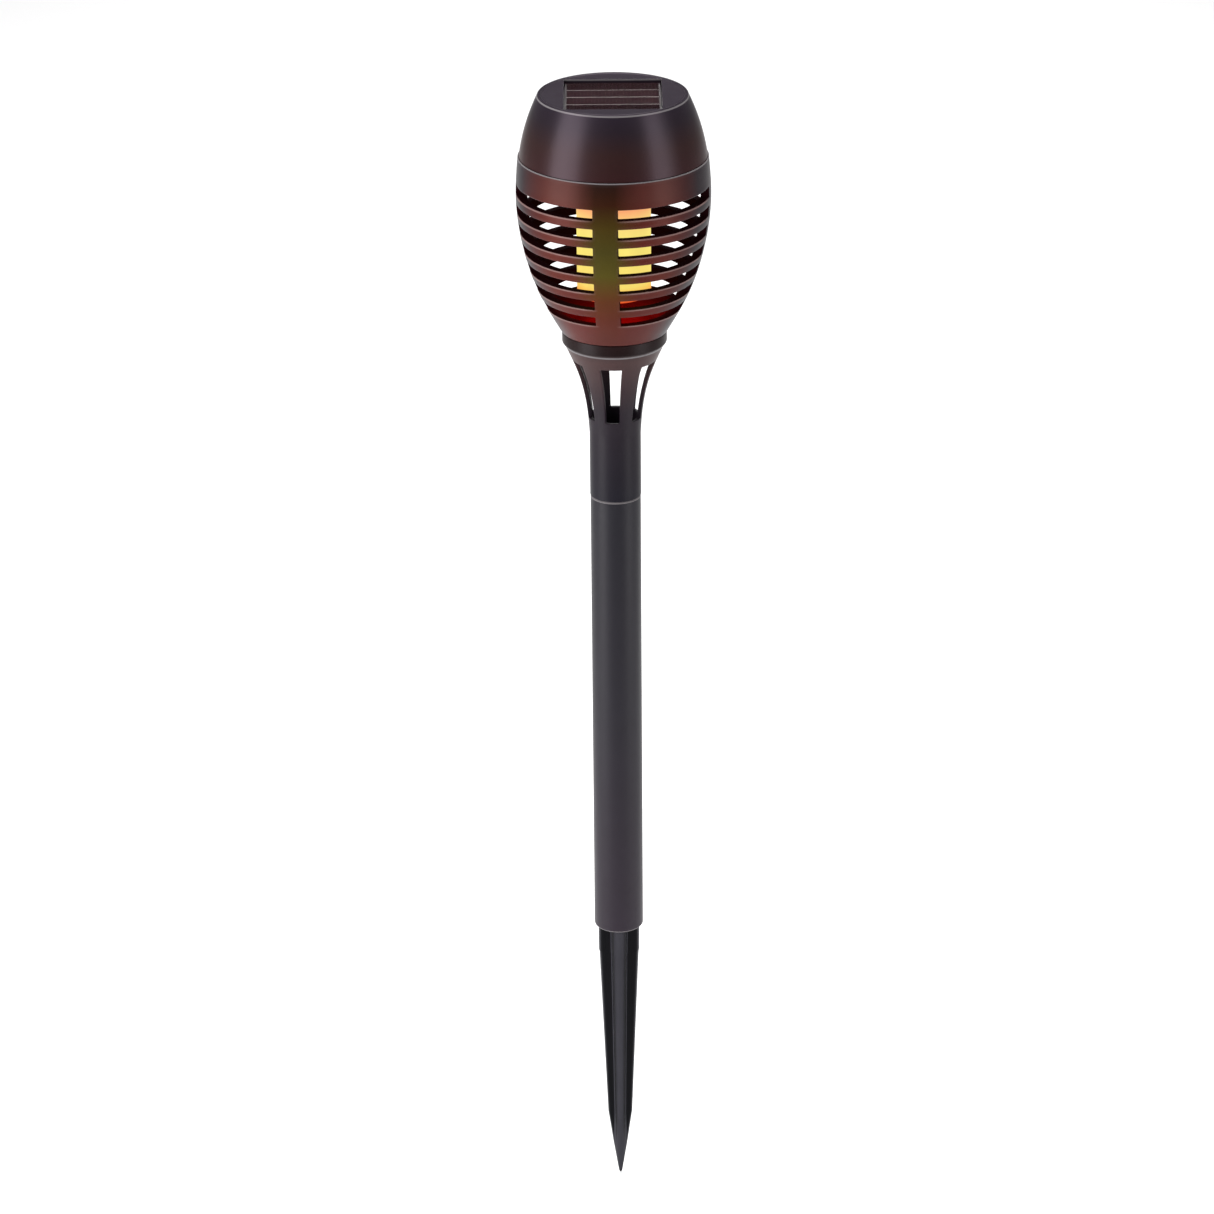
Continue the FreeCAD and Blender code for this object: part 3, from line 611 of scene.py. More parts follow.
def moulded(r, colour, rough, grain, edge_highlight, ior, rims=(), shine=(1.0, 1.0, 1.0)):
    """Satin injection-moulded plastic: spark-eroded grain, faint flow marks, and a painted
    highlight along the convex edges when its strength is over 0. Rims are height bands in
    millimetres that get a painted highlight line."""
    cloud = r.span(r.noise(CLOUD_SCALE, 4.0), 0.3, 0.7, 0.94, 1.06)
    colour = r.blend("MULTIPLY", 1.0, colour, cloud)
    # Painted highlights: along the convex edges, and in the rim bands.
    if edge_highlight > 0.0:
        colour = r.painted_edge_highlight(colour, edge_highlight, PAINTED_EDGE_HIGHLIGHT)
    for low, high in rims:
        colour = r.blend("MIX", r.band(low, high), colour, PAINTED_EDGE_HIGHLIGHT)
    r.join(colour, r.shader.inputs["Base Color"])
    flow = r.noise(FLOW_SCALE, 3.0, (1.0, 1.0, 0.12))
    r.join(r.span(flow, 0.3, 0.7, rough - 0.03, rough + 0.04), r.shader.inputs["Roughness"])
    r.bump((r.noise(GRAIN_SCALE, 2.0), grain), (flow, grain * 0.5))
    r.fix(IOR=ior, Specular_Tint=(*shine, 1.0))
    return r.material


def moulded_plastic(name, stops, span, rims=(), rough=0.42, shine=(1.0, 0.96, 1.0), ior=1.3):
    """Colours run up the torch between the two heights of the span."""
    r = Recipe(name)
    colour = r.ramp(r.height(*span), stops)
    return moulded(r, colour, rough, SATIN_GRAIN, 0.0, ior, rims, shine)


def spike_plastic(name):
    """Black plastic with a painted highlight on the fins' outer faces and painted shade on their
    flanks and in the valleys.
    """
    r = Recipe(name)
    geometry = r.node("ShaderNodeNewGeometry")
    x, y = r.around()
    facing = r.node("ShaderNodeVectorMath", operation="DOT_PRODUCT")
    way = r.node("ShaderNodeCombineXYZ")
    r.join(x, way.inputs[0])
    r.join(y, way.inputs[1])
    r.join(geometry.outputs["Normal"], facing.inputs[0])
    r.join(way.outputs[0], facing.inputs[1])
    # Painted highlight on faces turned outwards, painted shade on the rest.
    nose_highlight = r.span(facing.outputs["Value"], 0.90, 0.99, 0.0, 1.0)
    scratches = r.noise(160.0, 4.0, (1.0, 1.0, 0.06))
    colour = r.blend("MIX", nose_highlight, r.ramp(scratches, SPIKE_SHADED_BLACK), r.ramp(scratches, SPIKE_PAINTED_HIGHLIGHT))
    return moulded(r, colour, 0.26, SPIKE_GRAIN, 0.0, 1.15)


def cage_plastic(name):
    """Plastic with painted glow light from the lamp: olive on the posts, red-brown between
    them, painted shade at the sides, and painted highlight lines along the edges of the ribs."""
    r = Recipe(name)
    up = r.height(CAGE_FOOT, CAGE_TOP)
    x, y = r.around(CAGE_TURN)
    off_axis = r.math("ABSOLUTE", r.math("MULTIPLY", x, y))
    on_post = r.span(off_axis, 0.10, 0.36, 1.0, 0.0)
    # Painted glow light from the lamp: olive on the posts, red-brown between them.
    painted_glow = r.blend("MIX", on_post, r.ramp(up, PAINTED_GLOW_BETWEEN_POSTS), r.ramp(up, PAINTED_GLOW_ON_POSTS))
    # Painted shade on the sides; the front and back keep the painted glow.
    lit = r.span(r.math("ABSOLUTE", y), 0.42, 0.80, 0.0, 1.0)
    colour = r.blend("MIX", lit, PAINTED_SIDE_SHADE, painted_glow)
    # Painted highlight lines along the top edges of the ribs, away from the posts.
    from_edge = r.math("SUBTRACT", r.along("Z"), (SLOT_FIRST - RIB_RIM / 2) * MM)
    from_edge = r.math("PINGPONG", from_edge, SLOT_PITCH / 2 * MM)
    edge = r.span(from_edge, RIB_RIM / 2 * MM, RIB_RIM * MM, 1.0, 0.0)
    off_post = r.span(off_axis, 0.12, 0.30, 0.0, 0.75)
    rows = r.band(SLOT_FIRST - 1.0, SLOT_FIRST + (SLOT_ROWS - 1) * SLOT_PITCH + 1.0)
    edge = r.math("MULTIPLY", r.math("MULTIPLY", edge, off_post), rows)
    colour = r.blend("MIX", edge, colour, PAINTED_RIB_HIGHLIGHT)
    # Painted highlight line on the cage's lip, and a painted highlight along the convex edges.
    rims = [(CAGE_TOP - 0.42, CAGE_TOP)]
    return moulded(r, colour, 0.36, SATIN_GRAIN, 0.3, 1.22, rims, (1.0, 0.60, 0.55))


def cage_inside(name):
    """The cage's inner faces: black, with painted red glow light near the axis."""
    r = Recipe(name)
    return moulded(r, r.ramp(r.radius(12.0, 32.0), CAGE_INSIDE), 0.60, SATIN_GRAIN, 0.0, 1.04)


def rubber(name, colour):
    """Dull elastomer or foam with a fine grain."""
    r = Recipe(name)
    lighter = tuple(c * 1.5 for c in colour)
    shade = r.ramp(r.noise(200.0), [(0.3, colour), (0.7, lighter)])
    r.join(shade, r.shader.inputs["Base Color"])
    r.join(r.span(r.noise(900.0), 0.3, 0.7, 0.62, 0.8), r.shader.inputs["Roughness"])
    r.bump((r.noise(3000.0, 2.0), 0.015))
    return r.material


def metal(name, colour, rough, stretch=(1.0, 1.0, 1.0)):
    """Plated or drawn metal; the stretch squeezes or draws out its fine marks."""
    r = Recipe(name)
    dull = tuple(c * 0.8 for c in colour)
    shade = r.ramp(r.noise(700.0, 4.0, stretch), [(0.3, dull), (0.7, colour)])
    marks = r.noise(1500.0, 3.0, stretch)
    r.join(shade, r.shader.inputs["Base Color"])
    r.join(r.span(marks, 0.3, 0.7, rough * 0.8, rough * 1.3), r.shader.inputs["Roughness"])
    r.bump((marks, 0.004))
    r.fix(Metallic=1.0)
    return r.material


def varied(name, colour, lighter, scale, rough, grain):
    """Plain moulded or coated surface with gentle colour variation and grain."""
    r = Recipe(name)
    shade = r.ramp(r.noise(scale, 4.0), [(0.3, colour), (0.7, lighter)])
    polish = r.span(r.noise(scale * 4), 0.3, 0.7, rough * 0.85, rough * 1.15)
    r.join(shade, r.shader.inputs["Base Color"])
    r.join(polish, r.shader.inputs["Roughness"])
    r.bump((r.noise(scale * 12, 2.0), grain))
    return r.material


def silicon(name):
    """Thin-film silicon: dark purple-brown with a fine comb of collector lines."""
    r = Recipe(name)
    pitch, line = 1.5 * MM, 0.06 * MM
    comb = r.span(r.math("PINGPONG", r.along("X"), pitch / 2), 0.0, line, 1.0, 0.0)
    film = r.ramp(r.noise(120.0, 4.0), CELL_FILM)
    r.join(r.blend("MIX", comb, film, CELL_COMB), r.shader.inputs["Base Color"])
    r.join(r.span(r.noise(300.0), 0.3, 0.7, 0.34, 0.42), r.shader.inputs["Roughness"])
    r.bump((comb, 0.01))
    r.fix(IOR=1.05)
    return r.material


def clear_resin(name):
    """Cast resin over the cells: nearly invisible, slightly wavy, a little dulled by weather."""
    r = Recipe(name)
    r.join(r.ramp(r.noise(80.0), RESIN_TINT), r.shader.inputs["Base Color"])
    r.join(r.span(r.noise(400.0), 0.3, 0.7, 0.12, 0.22), r.shader.inputs["Roughness"])
    r.bump((r.noise(150.0, 2.0), 0.0008))
    r.fix(IOR=1.05, Alpha=0.05)
    return r.material


def glowing_diffuser(name):
    """Frosted tube lit from inside: red at the foot, yellow in the middle, orange on top."""
    r = Recipe(name)
    flame = r.ramp(r.height(CORE_LOW.z, CAGE_TOP), FLAME)
    flicker = r.span(r.noise(70.0, 3.0, (1.0, 1.0, 0.4)), 0.3, 0.7, 0.90, 1.05)
    glow = r.blend("MULTIPLY", 1.0, flame, flicker)
    r.join(glow, r.shader.inputs["Emission Color"])
    r.join(r.blend("MULTIPLY", 1.0, glow, CORE_DULLED), r.shader.inputs["Base Color"])
    r.join(r.span(r.noise(800.0), 0.3, 0.7, 0.55, 0.70), r.shader.inputs["Roughness"])
    r.bump((r.noise(2000.0, 2.0), 0.02))
    r.fix(Emission_Strength=0.95, IOR=1.2)
    return r.material


def phosphor(name):
    """Lit LED: warm and bright."""
    r = Recipe(name)
    glow = r.ramp(r.noise(500.0), PHOSPHOR_GLOW)
    r.join(glow, r.shader.inputs["Emission Color"])
    r.join(glow, r.shader.inputs["Base Color"])
    r.fix(Emission_Strength=2.0, Roughness=0.35)
    return r.material


# ---------------------------------------------------------------- torch pieces
def spread(low, high, steps):
    """Evenly spaced values from low up to, and without, high."""
    return [low + (high - low) * k / steps for k in range(steps)]


def cage_columns():
    """Column marks for the cage, (quarter, post fraction, slot fraction), and the gaps
    between the posts as pairs of column numbers."""
    columns, gaps = [], []
    for quarter in range(4):
        columns += [(quarter, side, 0.0) for side in (-1.0, -0.5, 0.0, 0.5)]
        first = len(columns)
        columns += [(quarter, 1.0, k / SLOT_COLUMNS) for k in range(SLOT_COLUMNS)]
        gaps.append((first, len(columns)))
    return columns, gaps


def cage_angle(column, radius):
    """Direction of a column in degrees. Posts keep their width down to POST_ROOT_R."""
    quarter, side, along = column
    half_post = math.degrees(math.asin(POST_WIDTH / 2 / max(radius, POST_ROOT_R)))
    centre = 270.0 + CAGE_TURN + 90.0 * quarter
    return centre + side * half_post + along * (90.0 - 2 * half_post)


def cage_heights():
    """Levels from the lowest slot's foot to the highest slot's top, and the slots as pairs
    of level numbers."""
    heights, windows = [], []
    for row in range(SLOT_ROWS):
        low = SLOT_FIRST + row * SLOT_PITCH
        top = low + SLOT_HEIGHT
        first = len(heights)
        heights += [low, (low + top) / 2]
        windows.append((first, first + 2))
        heights += [top, top + (SLOT_PITCH - SLOT_HEIGHT) / 2]
    heights.pop()
    return heights, windows


def cage_piece():
    """Slatted bulb with a floor below, a mouth with bayonet tracks above, and a spigot."""
    heights, windows = cage_heights()
    walls = SKIRT_LEVELS + heights
    mouth = [MOUTH_FOOT, *MOUTH_LEVELS]
    outer_heights = [CAGE_FOOT] + FOOT_LEVELS + walls + [MOUTH_FOOT - MOUTH_LEDGE] + mouth
    outer = list(zip(curve_through(CAGE_OUTLINE, outer_heights), outer_heights))
    inner_line = inset(CAGE_OUTLINE, CAGE_WALL)
    floor_r, floor = inner_line[0]
    inner = [(WIRE_HOLE_R, CAGE_FOOT), (WIRE_HOLE_R, floor), (floor_r, floor)]
    inner += list(zip(curve_through(inner_line, walls), walls))
    inner += [(MOUTH_LEDGE_R, MOUTH_FOOT)] + [(MOUTH_R, z) for z in mouth]
    columns, gaps = cage_columns()
    shift = 1 + len(FOOT_LEVELS) + len(SKIRT_LEVELS)
    windows = [(low + shift, top + shift) for low, top in windows]
    wall = slotted_wall("cage_wall", outer, inner, columns, cage_angle, windows, gaps)
    round_edges(wall, CAGE_BEVEL)
    carve(wall, [track_cutter(a, part) for a in LUG_ANGLES for part in (0, 1)])
    bore = SPIGOT_R - SPIGOT_WALL
    spigot = [(bore, CAGE_LOW.z), (SPIGOT_R, CAGE_LOW.z), (SPIGOT_R, CAGE_FOOT), (bore, CAGE_FOOT)]
    whole = join("cage_slatted", [wall, lathe("spigot", spigot)])
    for face in whole.data.polygons:
        outward = face.normal.x * face.center.x + face.normal.y * face.center.y
        if outward < OUTER_FACING * math.hypot(face.center.x, face.center.y):
            face.material_index = 1
    return smooth(whole)


def track_cutter(angle, part):
    """Entry channel (part 0) or locking run (part 1) of one bayonet track."""
    start = angle - TRACK_SIDE - (TRACK_LOCK if part else 0.0)
    stop = angle + TRACK_SIDE - (0.5 if part else 0.0)
    top = TRACK_ROOF if part else CAGE_TOP + 2.0
    angles = [start + (stop - start) * k / TRACK_STEPS for k in range(TRACK_STEPS + 1)]
    inside = MOUTH_R - 1.0
    corners = [(inside, TRACK_LOW), (TRACK_R, TRACK_LOW), (TRACK_R, top), (inside, top)]
    verts = [polar(r, z, a) for r, z in corners for a in angles]
    rows = [j * len(angles) for j in range(4)]
    faces = []
    for low, top in zip(rows, rows[1:] + rows[:1]):
        faces += [(low + c, low + c + 1, top + c + 1, top + c) for c in range(TRACK_STEPS)]
    faces += [tuple(rows), tuple(row + TRACK_STEPS for row in rows)]
    return new_object("track", verts, faces)


def neck_piece():
    """Plug, tube, slotted flare and collar as one wall, with three screw bosses."""
    foot = POLE_HIGH.z + 0.1
    slot_levels = spread(NECK_SLOT_LOW + 3, NECK_SLOT_TOP, NECK_SLOT_STEPS)
    flare_heights = [FLARE_FOOT, *FLARE_LOW_LEVELS, NECK_SLOT_LOW, *slot_levels]
    flare_heights += [NECK_SLOT_TOP, *FLARE_HIGH_LEVELS]
    tube_bore = FLARE_R - NECK_WALL
    plug_bore = PLUG_R - PLUG_WALL
    inner_line = inset(FLARE, NECK_WALL)
    inner_line[0] = (tube_bore, FLARE_FOOT)
    outer = [(PLUG_R, NECK_LOW.z), (PLUG_R, foot), (FLARE_R, foot), (FLARE_R, TUBE_TOP)]
    inner = [(plug_bore, NECK_LOW.z), (plug_bore, foot + 1.0)]
    inner += [(plug_bore + 0.8, foot + 2.0), (tube_bore, TUBE_TOP)]
    first = len(outer)
    outer += list(zip(curve_through(FLARE, flare_heights), flare_heights))
    inner += list(zip(curve_through(inner_line, flare_heights), flare_heights))
    seat_r, seat = SPIGOT_R + 0.2, NECK_HIGH.z - 0.2
    outer += [(FLARE_TOP_R, FLARE_TOP), (COLLAR_R, COLLAR_FOOT), (COLLAR_R, seat), (seat_r, seat)]
    inner += [(inner_line[-1][0] - 0.6, NECK_FLOOR_LOW), (WIRE_HOLE_R, NECK_FLOOR_LOW)]
    inner += [(WIRE_HOLE_R, NECK_FLOOR_TOP), (seat_r, NECK_FLOOR_TOP)]
    window = (first + 3, first + 4 + NECK_SLOT_STEPS)
    half = NECK_SLOT_ANGLE / 2
    pitch = 360.0 / NECK_SLOTS
    columns, gaps = [], []
    for k in range(NECK_SLOTS):
        centre = 270.0 + NECK_TURN + k * pitch
        gaps.append((len(columns), len(columns) + NECK_SLOT_STEPS))
        columns += spread(centre - half, centre + half, NECK_SLOT_STEPS)
        columns += spread(centre + half, centre - half + pitch, NECK_SLOT_STEPS)
    wall = slotted_wall("neck_wall", outer, inner, columns, lambda column, r: column, [window], gaps)
    round_edges(wall, NECK_BEVEL)
    bosses = []
    for angle in NECK_BOSSES:
        x, y, _ = polar(NECK_BOSS_RING_R, 0.0, angle)
        bosses.append(rod("boss", x, y, NECK_BOSS_R, NECK_FLOOR_TOP, CAGE_FOOT))
    return smooth(join("neck_flared", [wall] + bosses))


def cap_angles():
    """96 columns, four of which pass through the corners of the panel's pocket."""
    corner = math.degrees(math.atan2(POCKET_Y, POCKET_X))
    corners = [-corner, corner, 180 - corner, 180 + corner, 360 - corner]
    angles = []
    for start, stop in zip(corners, corners[1:]):
        angles += spread(start, stop, 24)
    return angles


def cap_piece():
    """Domed shell, its skirt and its sunk top face with the panel's pocket, in one mesh."""
    top, foot = CAP_HIGH.z, CAP_LOW.z
    rim_foot = (CAP_RIM_R, top - 0.7)
    roof = (CAP_HOLLOW_TOP_R, top - CAP_ROOF)
    side = [(CAP_HIGH.x, foot)] + bow((CAP_HIGH.x, foot), CAP_BULGE, rim_foot, 14)
    rim = bow(rim_foot, (CAP_RIM_R - 0.25, top - 0.2), (CAP_RIM_R - 0.8, top), 4)
    rim += [(CAP_RIM_R - 1.3, top - 0.12), (CAP_RIM_R - 1.7, top - CAP_SUNK)]
    skirt = [CAP_STEP, (CAP_STEP[0], GASKET_TOP), (CAP_SKIRT_R, GASKET_TOP), (CAP_SKIRT_R, foot)]
    inside = [roof] + bow(roof, CAP_HOLLOW_BULGE, CAP_HOLLOW_FOOT, 8) + skirt
    angles = cap_angles()
    columns = len(angles)
    loop = inside + side + rim
    verts = [polar(r, z, a) for r, z in loop for a in angles]
    for z in (top - CAP_SUNK, POCKET_FLOOR):
        for a in angles:
            c, s = math.cos(math.radians(a)), math.sin(math.radians(a))
            reach = min(POCKET_X / max(abs(c), 1e-9), POCKET_Y / max(abs(s), 1e-9))
            verts.append((reach * c, reach * s, z))
    rows = [j * columns for j in range(len(loop) + 2)]
    faces = []
    for low, high in zip(rows, rows[1:]):
        for c in range(columns):
            d = (c + 1) % columns
            faces.append((low + c, low + d, high + d, high + c))
    faces.append(tuple(rows[-1] + c for c in range(columns)))
    faces.append(tuple(range(columns - 1, -1, -1)))
    shell = round_edges(new_object("cap_shell_dome", verts, faces), CAP_BEVEL)
    carve(shell, [rod("wire_hole", 0.0, -14.0, 2.6, top - 7.0, top - 1.0)])
    bosses = []
    for angle in CAP_BOSSES:
        x, y, _ = polar(CAP_BOSS_RING_R, 0.0, angle)
        bosses.append(rod("boss", x, y, CAP_BOSS_R, PLATE_TOP - 12.0, top - 5.0))
    whole = join("cap_dome", [shell] + bosses)
    for face in whole.data.polygons:
        face.material_index = cap_finish_of(face)
    return smooth(whole)


def cap_finish_of(face):
    """0 on the dome and inside, 1 on the flat top, 2 on the rounded edge of the pocket, which gets a
    painted highlight.
    """
    place, up = face.center / MM, face.normal.z
    if place.z < POCKET_FLOOR:
        return 0
    if up > 0.95:
        return 1
    across = max(abs(place.x) / POCKET_X, abs(place.y) / POCKET_Y)
    return 2 if abs(across - 1.0) < 0.02 and up > 0.1 else 0


def pole_piece():
    """Plain tube, rounded at its foot, with a socket at each end."""
    r, top = POLE_HIGH.x, POLE_HIGH.z
    corner = [(r - 1.25, 0.0)] + bow((r - 1.25, 0.0), (r - 0.36, 0.36), (r, 1.25), 6)
    outside = corner + [(r, 20.0), (r, 100.0), (r, 190.0), (r, top - 0.45), (r - 0.45, top)]
    depth = PLUG_DEPTH + 0.1
    inside = [(SOCKET_R, top), (SOCKET_R, top - depth), (BORE_R, top - depth)]
    inside += [(BORE_R, depth), (SOCKET_R, depth), (SOCKET_R, 0.0)]
    return smooth(lathe("pole_tube_satin", outside + inside), 25.0)


def fin_section(z, reach, width, merge):
    """Cross of four fins with crowned outer faces and filleted valleys.
    merge runs from 0, a full cross, to 1, a plain circle."""
    half = width / 2
    crown, nose = FIN_CROWN * half, FIN_NOSE * half
    quarter = [(half + 0.35, half + 0.35), (half + 0.08, half + 0.9), (half, reach * 0.62)]
    quarter.append((half, reach - crown - nose * 1.6))
    quarter.append((half - nose * 0.3, reach - crown - nose * 0.5))
    for share in (0.86, 0.62, 0.36, 0.0):
        quarter.append((half * share, reach - crown * share * share))
    arm = quarter + [(-x, y) for x, y in reversed(quarter[1:-1])]
    section = []
    for k in range(4):
        a = math.radians(90.0 * k)
        for x, y in arm:
            px, py = x * math.cos(a) - y * math.sin(a), x * math.sin(a) + y * math.cos(a)
            size = math.hypot(px, py)
            px, py = px + (px / size * reach - px) * merge, py + (py / size * reach - py) * merge
            section.append((px, py, z))
    return section


def spike_piece():
    """Finned plug, step, long blade and conical tip, with the two discs of the plug."""
    levels = PLUG_FINS + STEP_FINS
    for k in range(1, BLADE_STEPS + 1):
        t = k / BLADE_STEPS
        levels.append(tuple(a + (b - a) * t for a, b in zip(BLADE_TOP, BLADE_FOOT)))
    sections = [fin_section(*level) for level in levels + POINT_FINS]
    count = len(sections[0])
    rows = [j * count for j in range(len(sections))]
    verts = [v for section in sections for v in section]
    faces = [tuple(range(count)), tuple(rows[-1] + k for k in range(count))]
    for low, high in zip(rows, rows[1:]):
        for k in range(count):
            n = (k + 1) % count
            faces.append((low + k, low + n, high + n, high + k))
    fins = new_object("fins", verts, faces)
    discs = []
    for low in (1.0, PLUG_DEPTH - DISC_HEIGHT):
        discs.append(rod("disc", 0.0, 0.0, PLUG_R, low, low + DISC_HEIGHT, 96))
    return smooth(join("ground_spike_finned", [fins] + discs), 38.0)


def diffuser_piece():
    """Thin open-topped cup with a rounded foot and a small hole in the middle of its floor."""
    r, low, top = CORE_HIGH.x, CORE_LOW.z, CORE_HIGH.z
    bore = r - CORE_WALL
    outside = [(CORE_HOLE_R, low), (r - 6.0, low), (r - 2.2, low)]
    outside += bow((r - 2.2, low), (r - 0.64, low + 0.64), (r, low + 2.2), 6)
    outside += [(r, z) for z in (low + 20.0, low + 40.0, top)]
    inside = [(bore, top), (bore, low + 3.0), (bore - 1.8, low + CORE_WALL)]
    inside.append((CORE_HOLE_R, low + CORE_WALL))
    return smooth(lathe("diffuser_tube", outside + inside), 40.0)


# ---------------------------------------------------------------- finishes
def dress(obj, materials, body, slot, *nodes):
    """Give a piece its materials and body, and hide the CAD nodes it replaces; the slot is not used.
    """
    for material in materials:
        obj.data.materials.append(material)
    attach(obj, body)
    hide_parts(*nodes)


CAP_SPAN = (CAP_LOW.z, CAP_HIGH.z)
# Height bands that get a painted highlight line along a rim.
POLE_RIMS = [(0.1, 0.7), (POLE_HIGH.z - 0.7, POLE_HIGH.z)]
NECK_RIMS = [(278.5, 279.2)]
CAP_RIMS = [(CAP_HIGH.z - 1.05, CAP_HIGH.z - 0.5)]

spike_finish = spike_plastic("spike_plastic")
pole_finish = moulded_plastic("pole_plastic", POLE_COLOURS, (0.0, POLE_HIGH.z), POLE_RIMS)
neck_finish = moulded_plastic(
    "neck_plastic", NECK_COLOURS, (POLE_HIGH.z, NECK_HIGH.z), NECK_RIMS, rough=0.40, ior=1.22)
cap_finish = moulded_plastic(
    "cap_plastic", CAP_COLOURS, CAP_SPAN, CAP_RIMS, rough=0.33, shine=(1.0, 0.80, 0.96))
cap_top_finish = moulded_plastic(
    "cap_top_plastic", CAP_TOP_COLOURS, CAP_SPAN, rough=0.45, ior=1.1)
# Painted highlight: light grey on the rounded edge of the panel's pocket.
pocket_edge_highlight = varied("pocket_edge_highlight", (0.56, 0.54, 0.56), (0.64, 0.62, 0.64), 200.0, 0.45, 0.01)
cage_finish = cage_plastic("cage_plastic")
plate_finish = moulded_plastic(
    "plate_plastic", PLATE_COLOURS, (CAP_LOW.z - 40.0, CAP_HIGH.z), rough=0.5)
frosted = glowing_diffuser("frosted_plastic")
cage_finishes = [cage_finish, cage_inside("cage_inside")]
cap_finishes = [cap_finish, cap_top_finish, pocket_edge_highlight]

dress(spike_piece(), [spike_finish], "stake", "spike_plastic", "ground_spike")
dress(pole_piece(), [pole_finish], "pole", "pole_plastic", "pole_tube")
dress(neck_piece(), [neck_finish], "lantern", "neck_plastic", "neck_funnel")
dress(cage_piece(), cage_finishes, "lantern", "cage_plastic", "cage")
dress(cap_piece(), cap_finishes, "lamp", "cap_plastic", "cap_shell")
dress(diffuser_piece(), [frosted], "lamp", "frosted_plastic", "diffuser")

steel = metal("screw_steel", (0.62, 0.62, 0.64), 0.32)
nickel = metal("contact_metal", (0.74, 0.73, 0.70), 0.22)
NODE_FINISHES = {
    "base_plate": plate_finish,
    "cage_screws": steel,
    "cap_screws": steel,
    "board_screws": steel,
    "post_screws": steel,
    "seal_ring": rubber("seal_rubber", (0.014, 0.014, 0.015)),
    "plate_gasket": rubber("gasket_foam", (0.04, 0.04, 0.042)),
    "power_button": rubber("button_rubber", (0.022, 0.021, 0.022)),
    "panel_tape": varied("tape_foam", (0.70, 0.70, 0.66), (0.80, 0.80, 0.77), 300.0, 0.9, 0.03),
    "panel_board": varied(
        "panel_laminate", (0.030, 0.017, 0.020), (0.040, 0.024, 0.028), 150.0, 0.4, 0.01),
    "solar_cells": silicon("silicon_cell"),
    "cell_ribbons": varied("ribbon_metal", (0.92, 0.80, 0.78), (0.97, 0.86, 0.84), 200.0, 0.5, 0.004),
    "panel_resin": clear_resin("clear_resin"),
    "circuit_board": varied(
        "board_laminate", (0.012, 0.14, 0.045), (0.02, 0.19, 0.07), 250.0, 0.3, 0.01),
    "controller_chip": varied(
        "chip_plastic", (0.016, 0.016, 0.017), (0.026, 0.026, 0.028), 600.0, 0.6, 0.01),
    "board_inductor": varied("ferrite", (0.06, 0.06, 0.065), (0.09, 0.09, 0.095), 500.0, 0.7, 0.02),
    "inductor_winding": metal("copper", (0.78, 0.34, 0.16), 0.3, (1.0, 1.0, 12.0)),
    "battery": varied("battery_wrap", (0.02, 0.16, 0.09), (0.03, 0.22, 0.13), 90.0, 0.25, 0.01),
    "battery_plate": nickel,
    "battery_spring": nickel,
    "switch_body": varied(
        "switch_plastic", (0.045, 0.045, 0.05), (0.065, 0.065, 0.07), 300.0, 0.5, 0.02),
    "panel_wires": varied("wire_red", (0.42, 0.02, 0.02), (0.55, 0.03, 0.03), 200.0, 0.4, 0.01),
    "battery_wires": varied("wire_black", (0.02, 0.02, 0.02), (0.03, 0.03, 0.03), 200.0, 0.4, 0.01),
    "led_wires": varied("wire_blue", (0.02, 0.05, 0.30), (0.03, 0.07, 0.38), 200.0, 0.4, 0.01),
    "led_post": varied("post_plastic", (0.68, 0.68, 0.64), (0.78, 0.78, 0.75), 120.0, 0.5, 0.02),
    "led_board": varied("flex_laminate", (0.74, 0.74, 0.70), (0.84, 0.84, 0.80), 150.0, 0.35, 0.01),
    "leds": phosphor("led_phosphor"),
}
for node, finish in NODE_FINISHES.items():
    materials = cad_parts[node].data.materials
    materials.clear()
    materials.append(finish)


# ---------------------------------------------------------------- stage, light, camera
FLOOR_REACH = 4500.0
FLOOR_DROP = 0.3
ROOM_LIGHT = 0.22

# Softboxes, in metres; radiance is what the camera would see in them.
CEILING_PLACE = (0.0, 1.05, 1.6)
CEILING_TARGET = (0.0, 1.05, 0.0)
CEILING_SIZE = (1.0, 2.7)
SIDE_DISTANCE = 0.9
SIDE_HEIGHT = 0.42
SIDE_TARGET = (0.0, 0.0, 0.28)
LEFT_SIZE = (0.60, 1.1)
RIGHT_SIZE = (0.42, 1.1)

# Camera, in metres, millimetres of lens and degrees.
CAMERA_PLACE = (-0.0042, -1.8187, 0.9311)
CAMERA_LENS = 133.4
CAMERA_PITCH = 23.1
CAMERA_ROLL = -0.48


def studio_floor():
    """Plain pale floor just under the spike's tip."""
    low, high, z = -FLOOR_REACH, FLOOR_REACH, SPIKE_TIP - FLOOR_DROP
    corners = [(low, low, z), (high, low, z), (high, high, z), (low, high, z)]
    floor = new_object("studio_floor", corners, [(0, 1, 2, 3)])
    paint = varied("studio_floor", (0.92, 0.92, 0.92), (0.94, 0.94, 0.94), 0.6, 0.8, 0.0)
    floor.data.materials.append(paint)


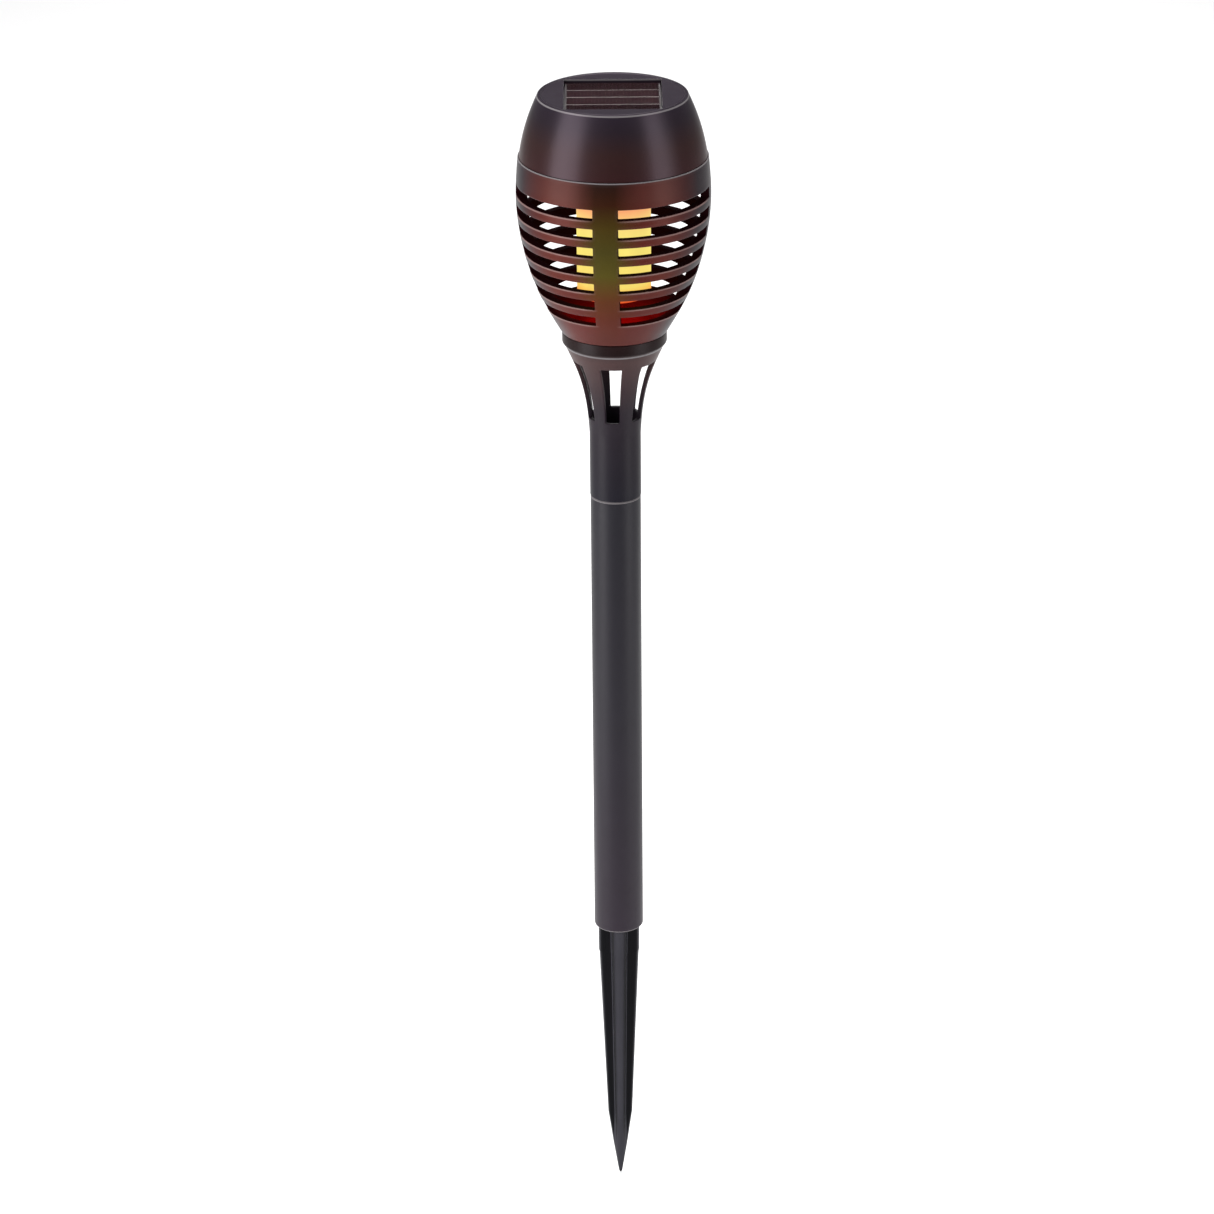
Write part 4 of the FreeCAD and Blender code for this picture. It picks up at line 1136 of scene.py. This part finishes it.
def soft_light(name, place, target, size, radiance):
    """Rectangular softbox at a place, turned to a target; all in metres."""
    data = bpy.data.lights.new(name, "AREA")
    data.shape = "RECTANGLE"
    data.size, data.size_y = size
    data.energy = radiance * math.pi * size[0] * size[1]
    light = bpy.data.objects.new(name, data)
    bpy.context.scene.collection.objects.link(light)
    light.location = place
    light.rotation_mode = "QUATERNION"
    light.rotation_quaternion = (Vector(target) - Vector(place)).to_track_quat("-Z", "Y")


def beside(azimuth):
    """A side softbox's place; azimuth 0 is behind the camera, to the viewer's right."""
    a = math.radians(azimuth)
    return (SIDE_DISTANCE * math.sin(a), -SIDE_DISTANCE * math.cos(a), SIDE_HEIGHT)


def studio_world():
    """Dim, even room light; the softboxes do the rest."""
    world = bpy.data.worlds.new("studio")
    bpy.context.scene.world = world
    world.use_nodes = True
    room = world.node_tree.nodes["Background"]
    room.inputs["Color"].default_value = (1.0, 0.99, 1.0, 1.0)
    room.inputs["Strength"].default_value = ROOM_LIGHT


def front_camera():
    """Looks down at the torch from the front, with a long lens."""
    data = bpy.data.cameras.new("camera")
    data.sensor_width = 36.0
    data.lens = CAMERA_LENS
    data.clip_start, data.clip_end = 0.05, 50.0
    camera = bpy.data.objects.new("camera", data)
    bpy.context.scene.collection.objects.link(camera)
    pitch, roll = math.radians(CAMERA_PITCH), math.radians(CAMERA_ROLL)
    camera.location = CAMERA_PLACE
    look = Matrix.Rotation(math.pi / 2 - pitch, 4, "X") @ Matrix.Rotation(roll, 4, "Z")
    camera.rotation_mode = "QUATERNION"
    camera.rotation_quaternion = look.to_quaternion()
    bpy.context.scene.camera = camera


studio_floor()
studio_world()
soft_light("ceiling_softbox", CEILING_PLACE, CEILING_TARGET, CEILING_SIZE, 5.8)
soft_light("left_softbox", beside(-61.0), SIDE_TARGET, LEFT_SIZE, 7.3)
soft_light("right_softbox", beside(60.0), SIDE_TARGET, RIGHT_SIZE, 5.0)
front_camera()
bpy.context.scene.view_settings.view_transform = "Standard"
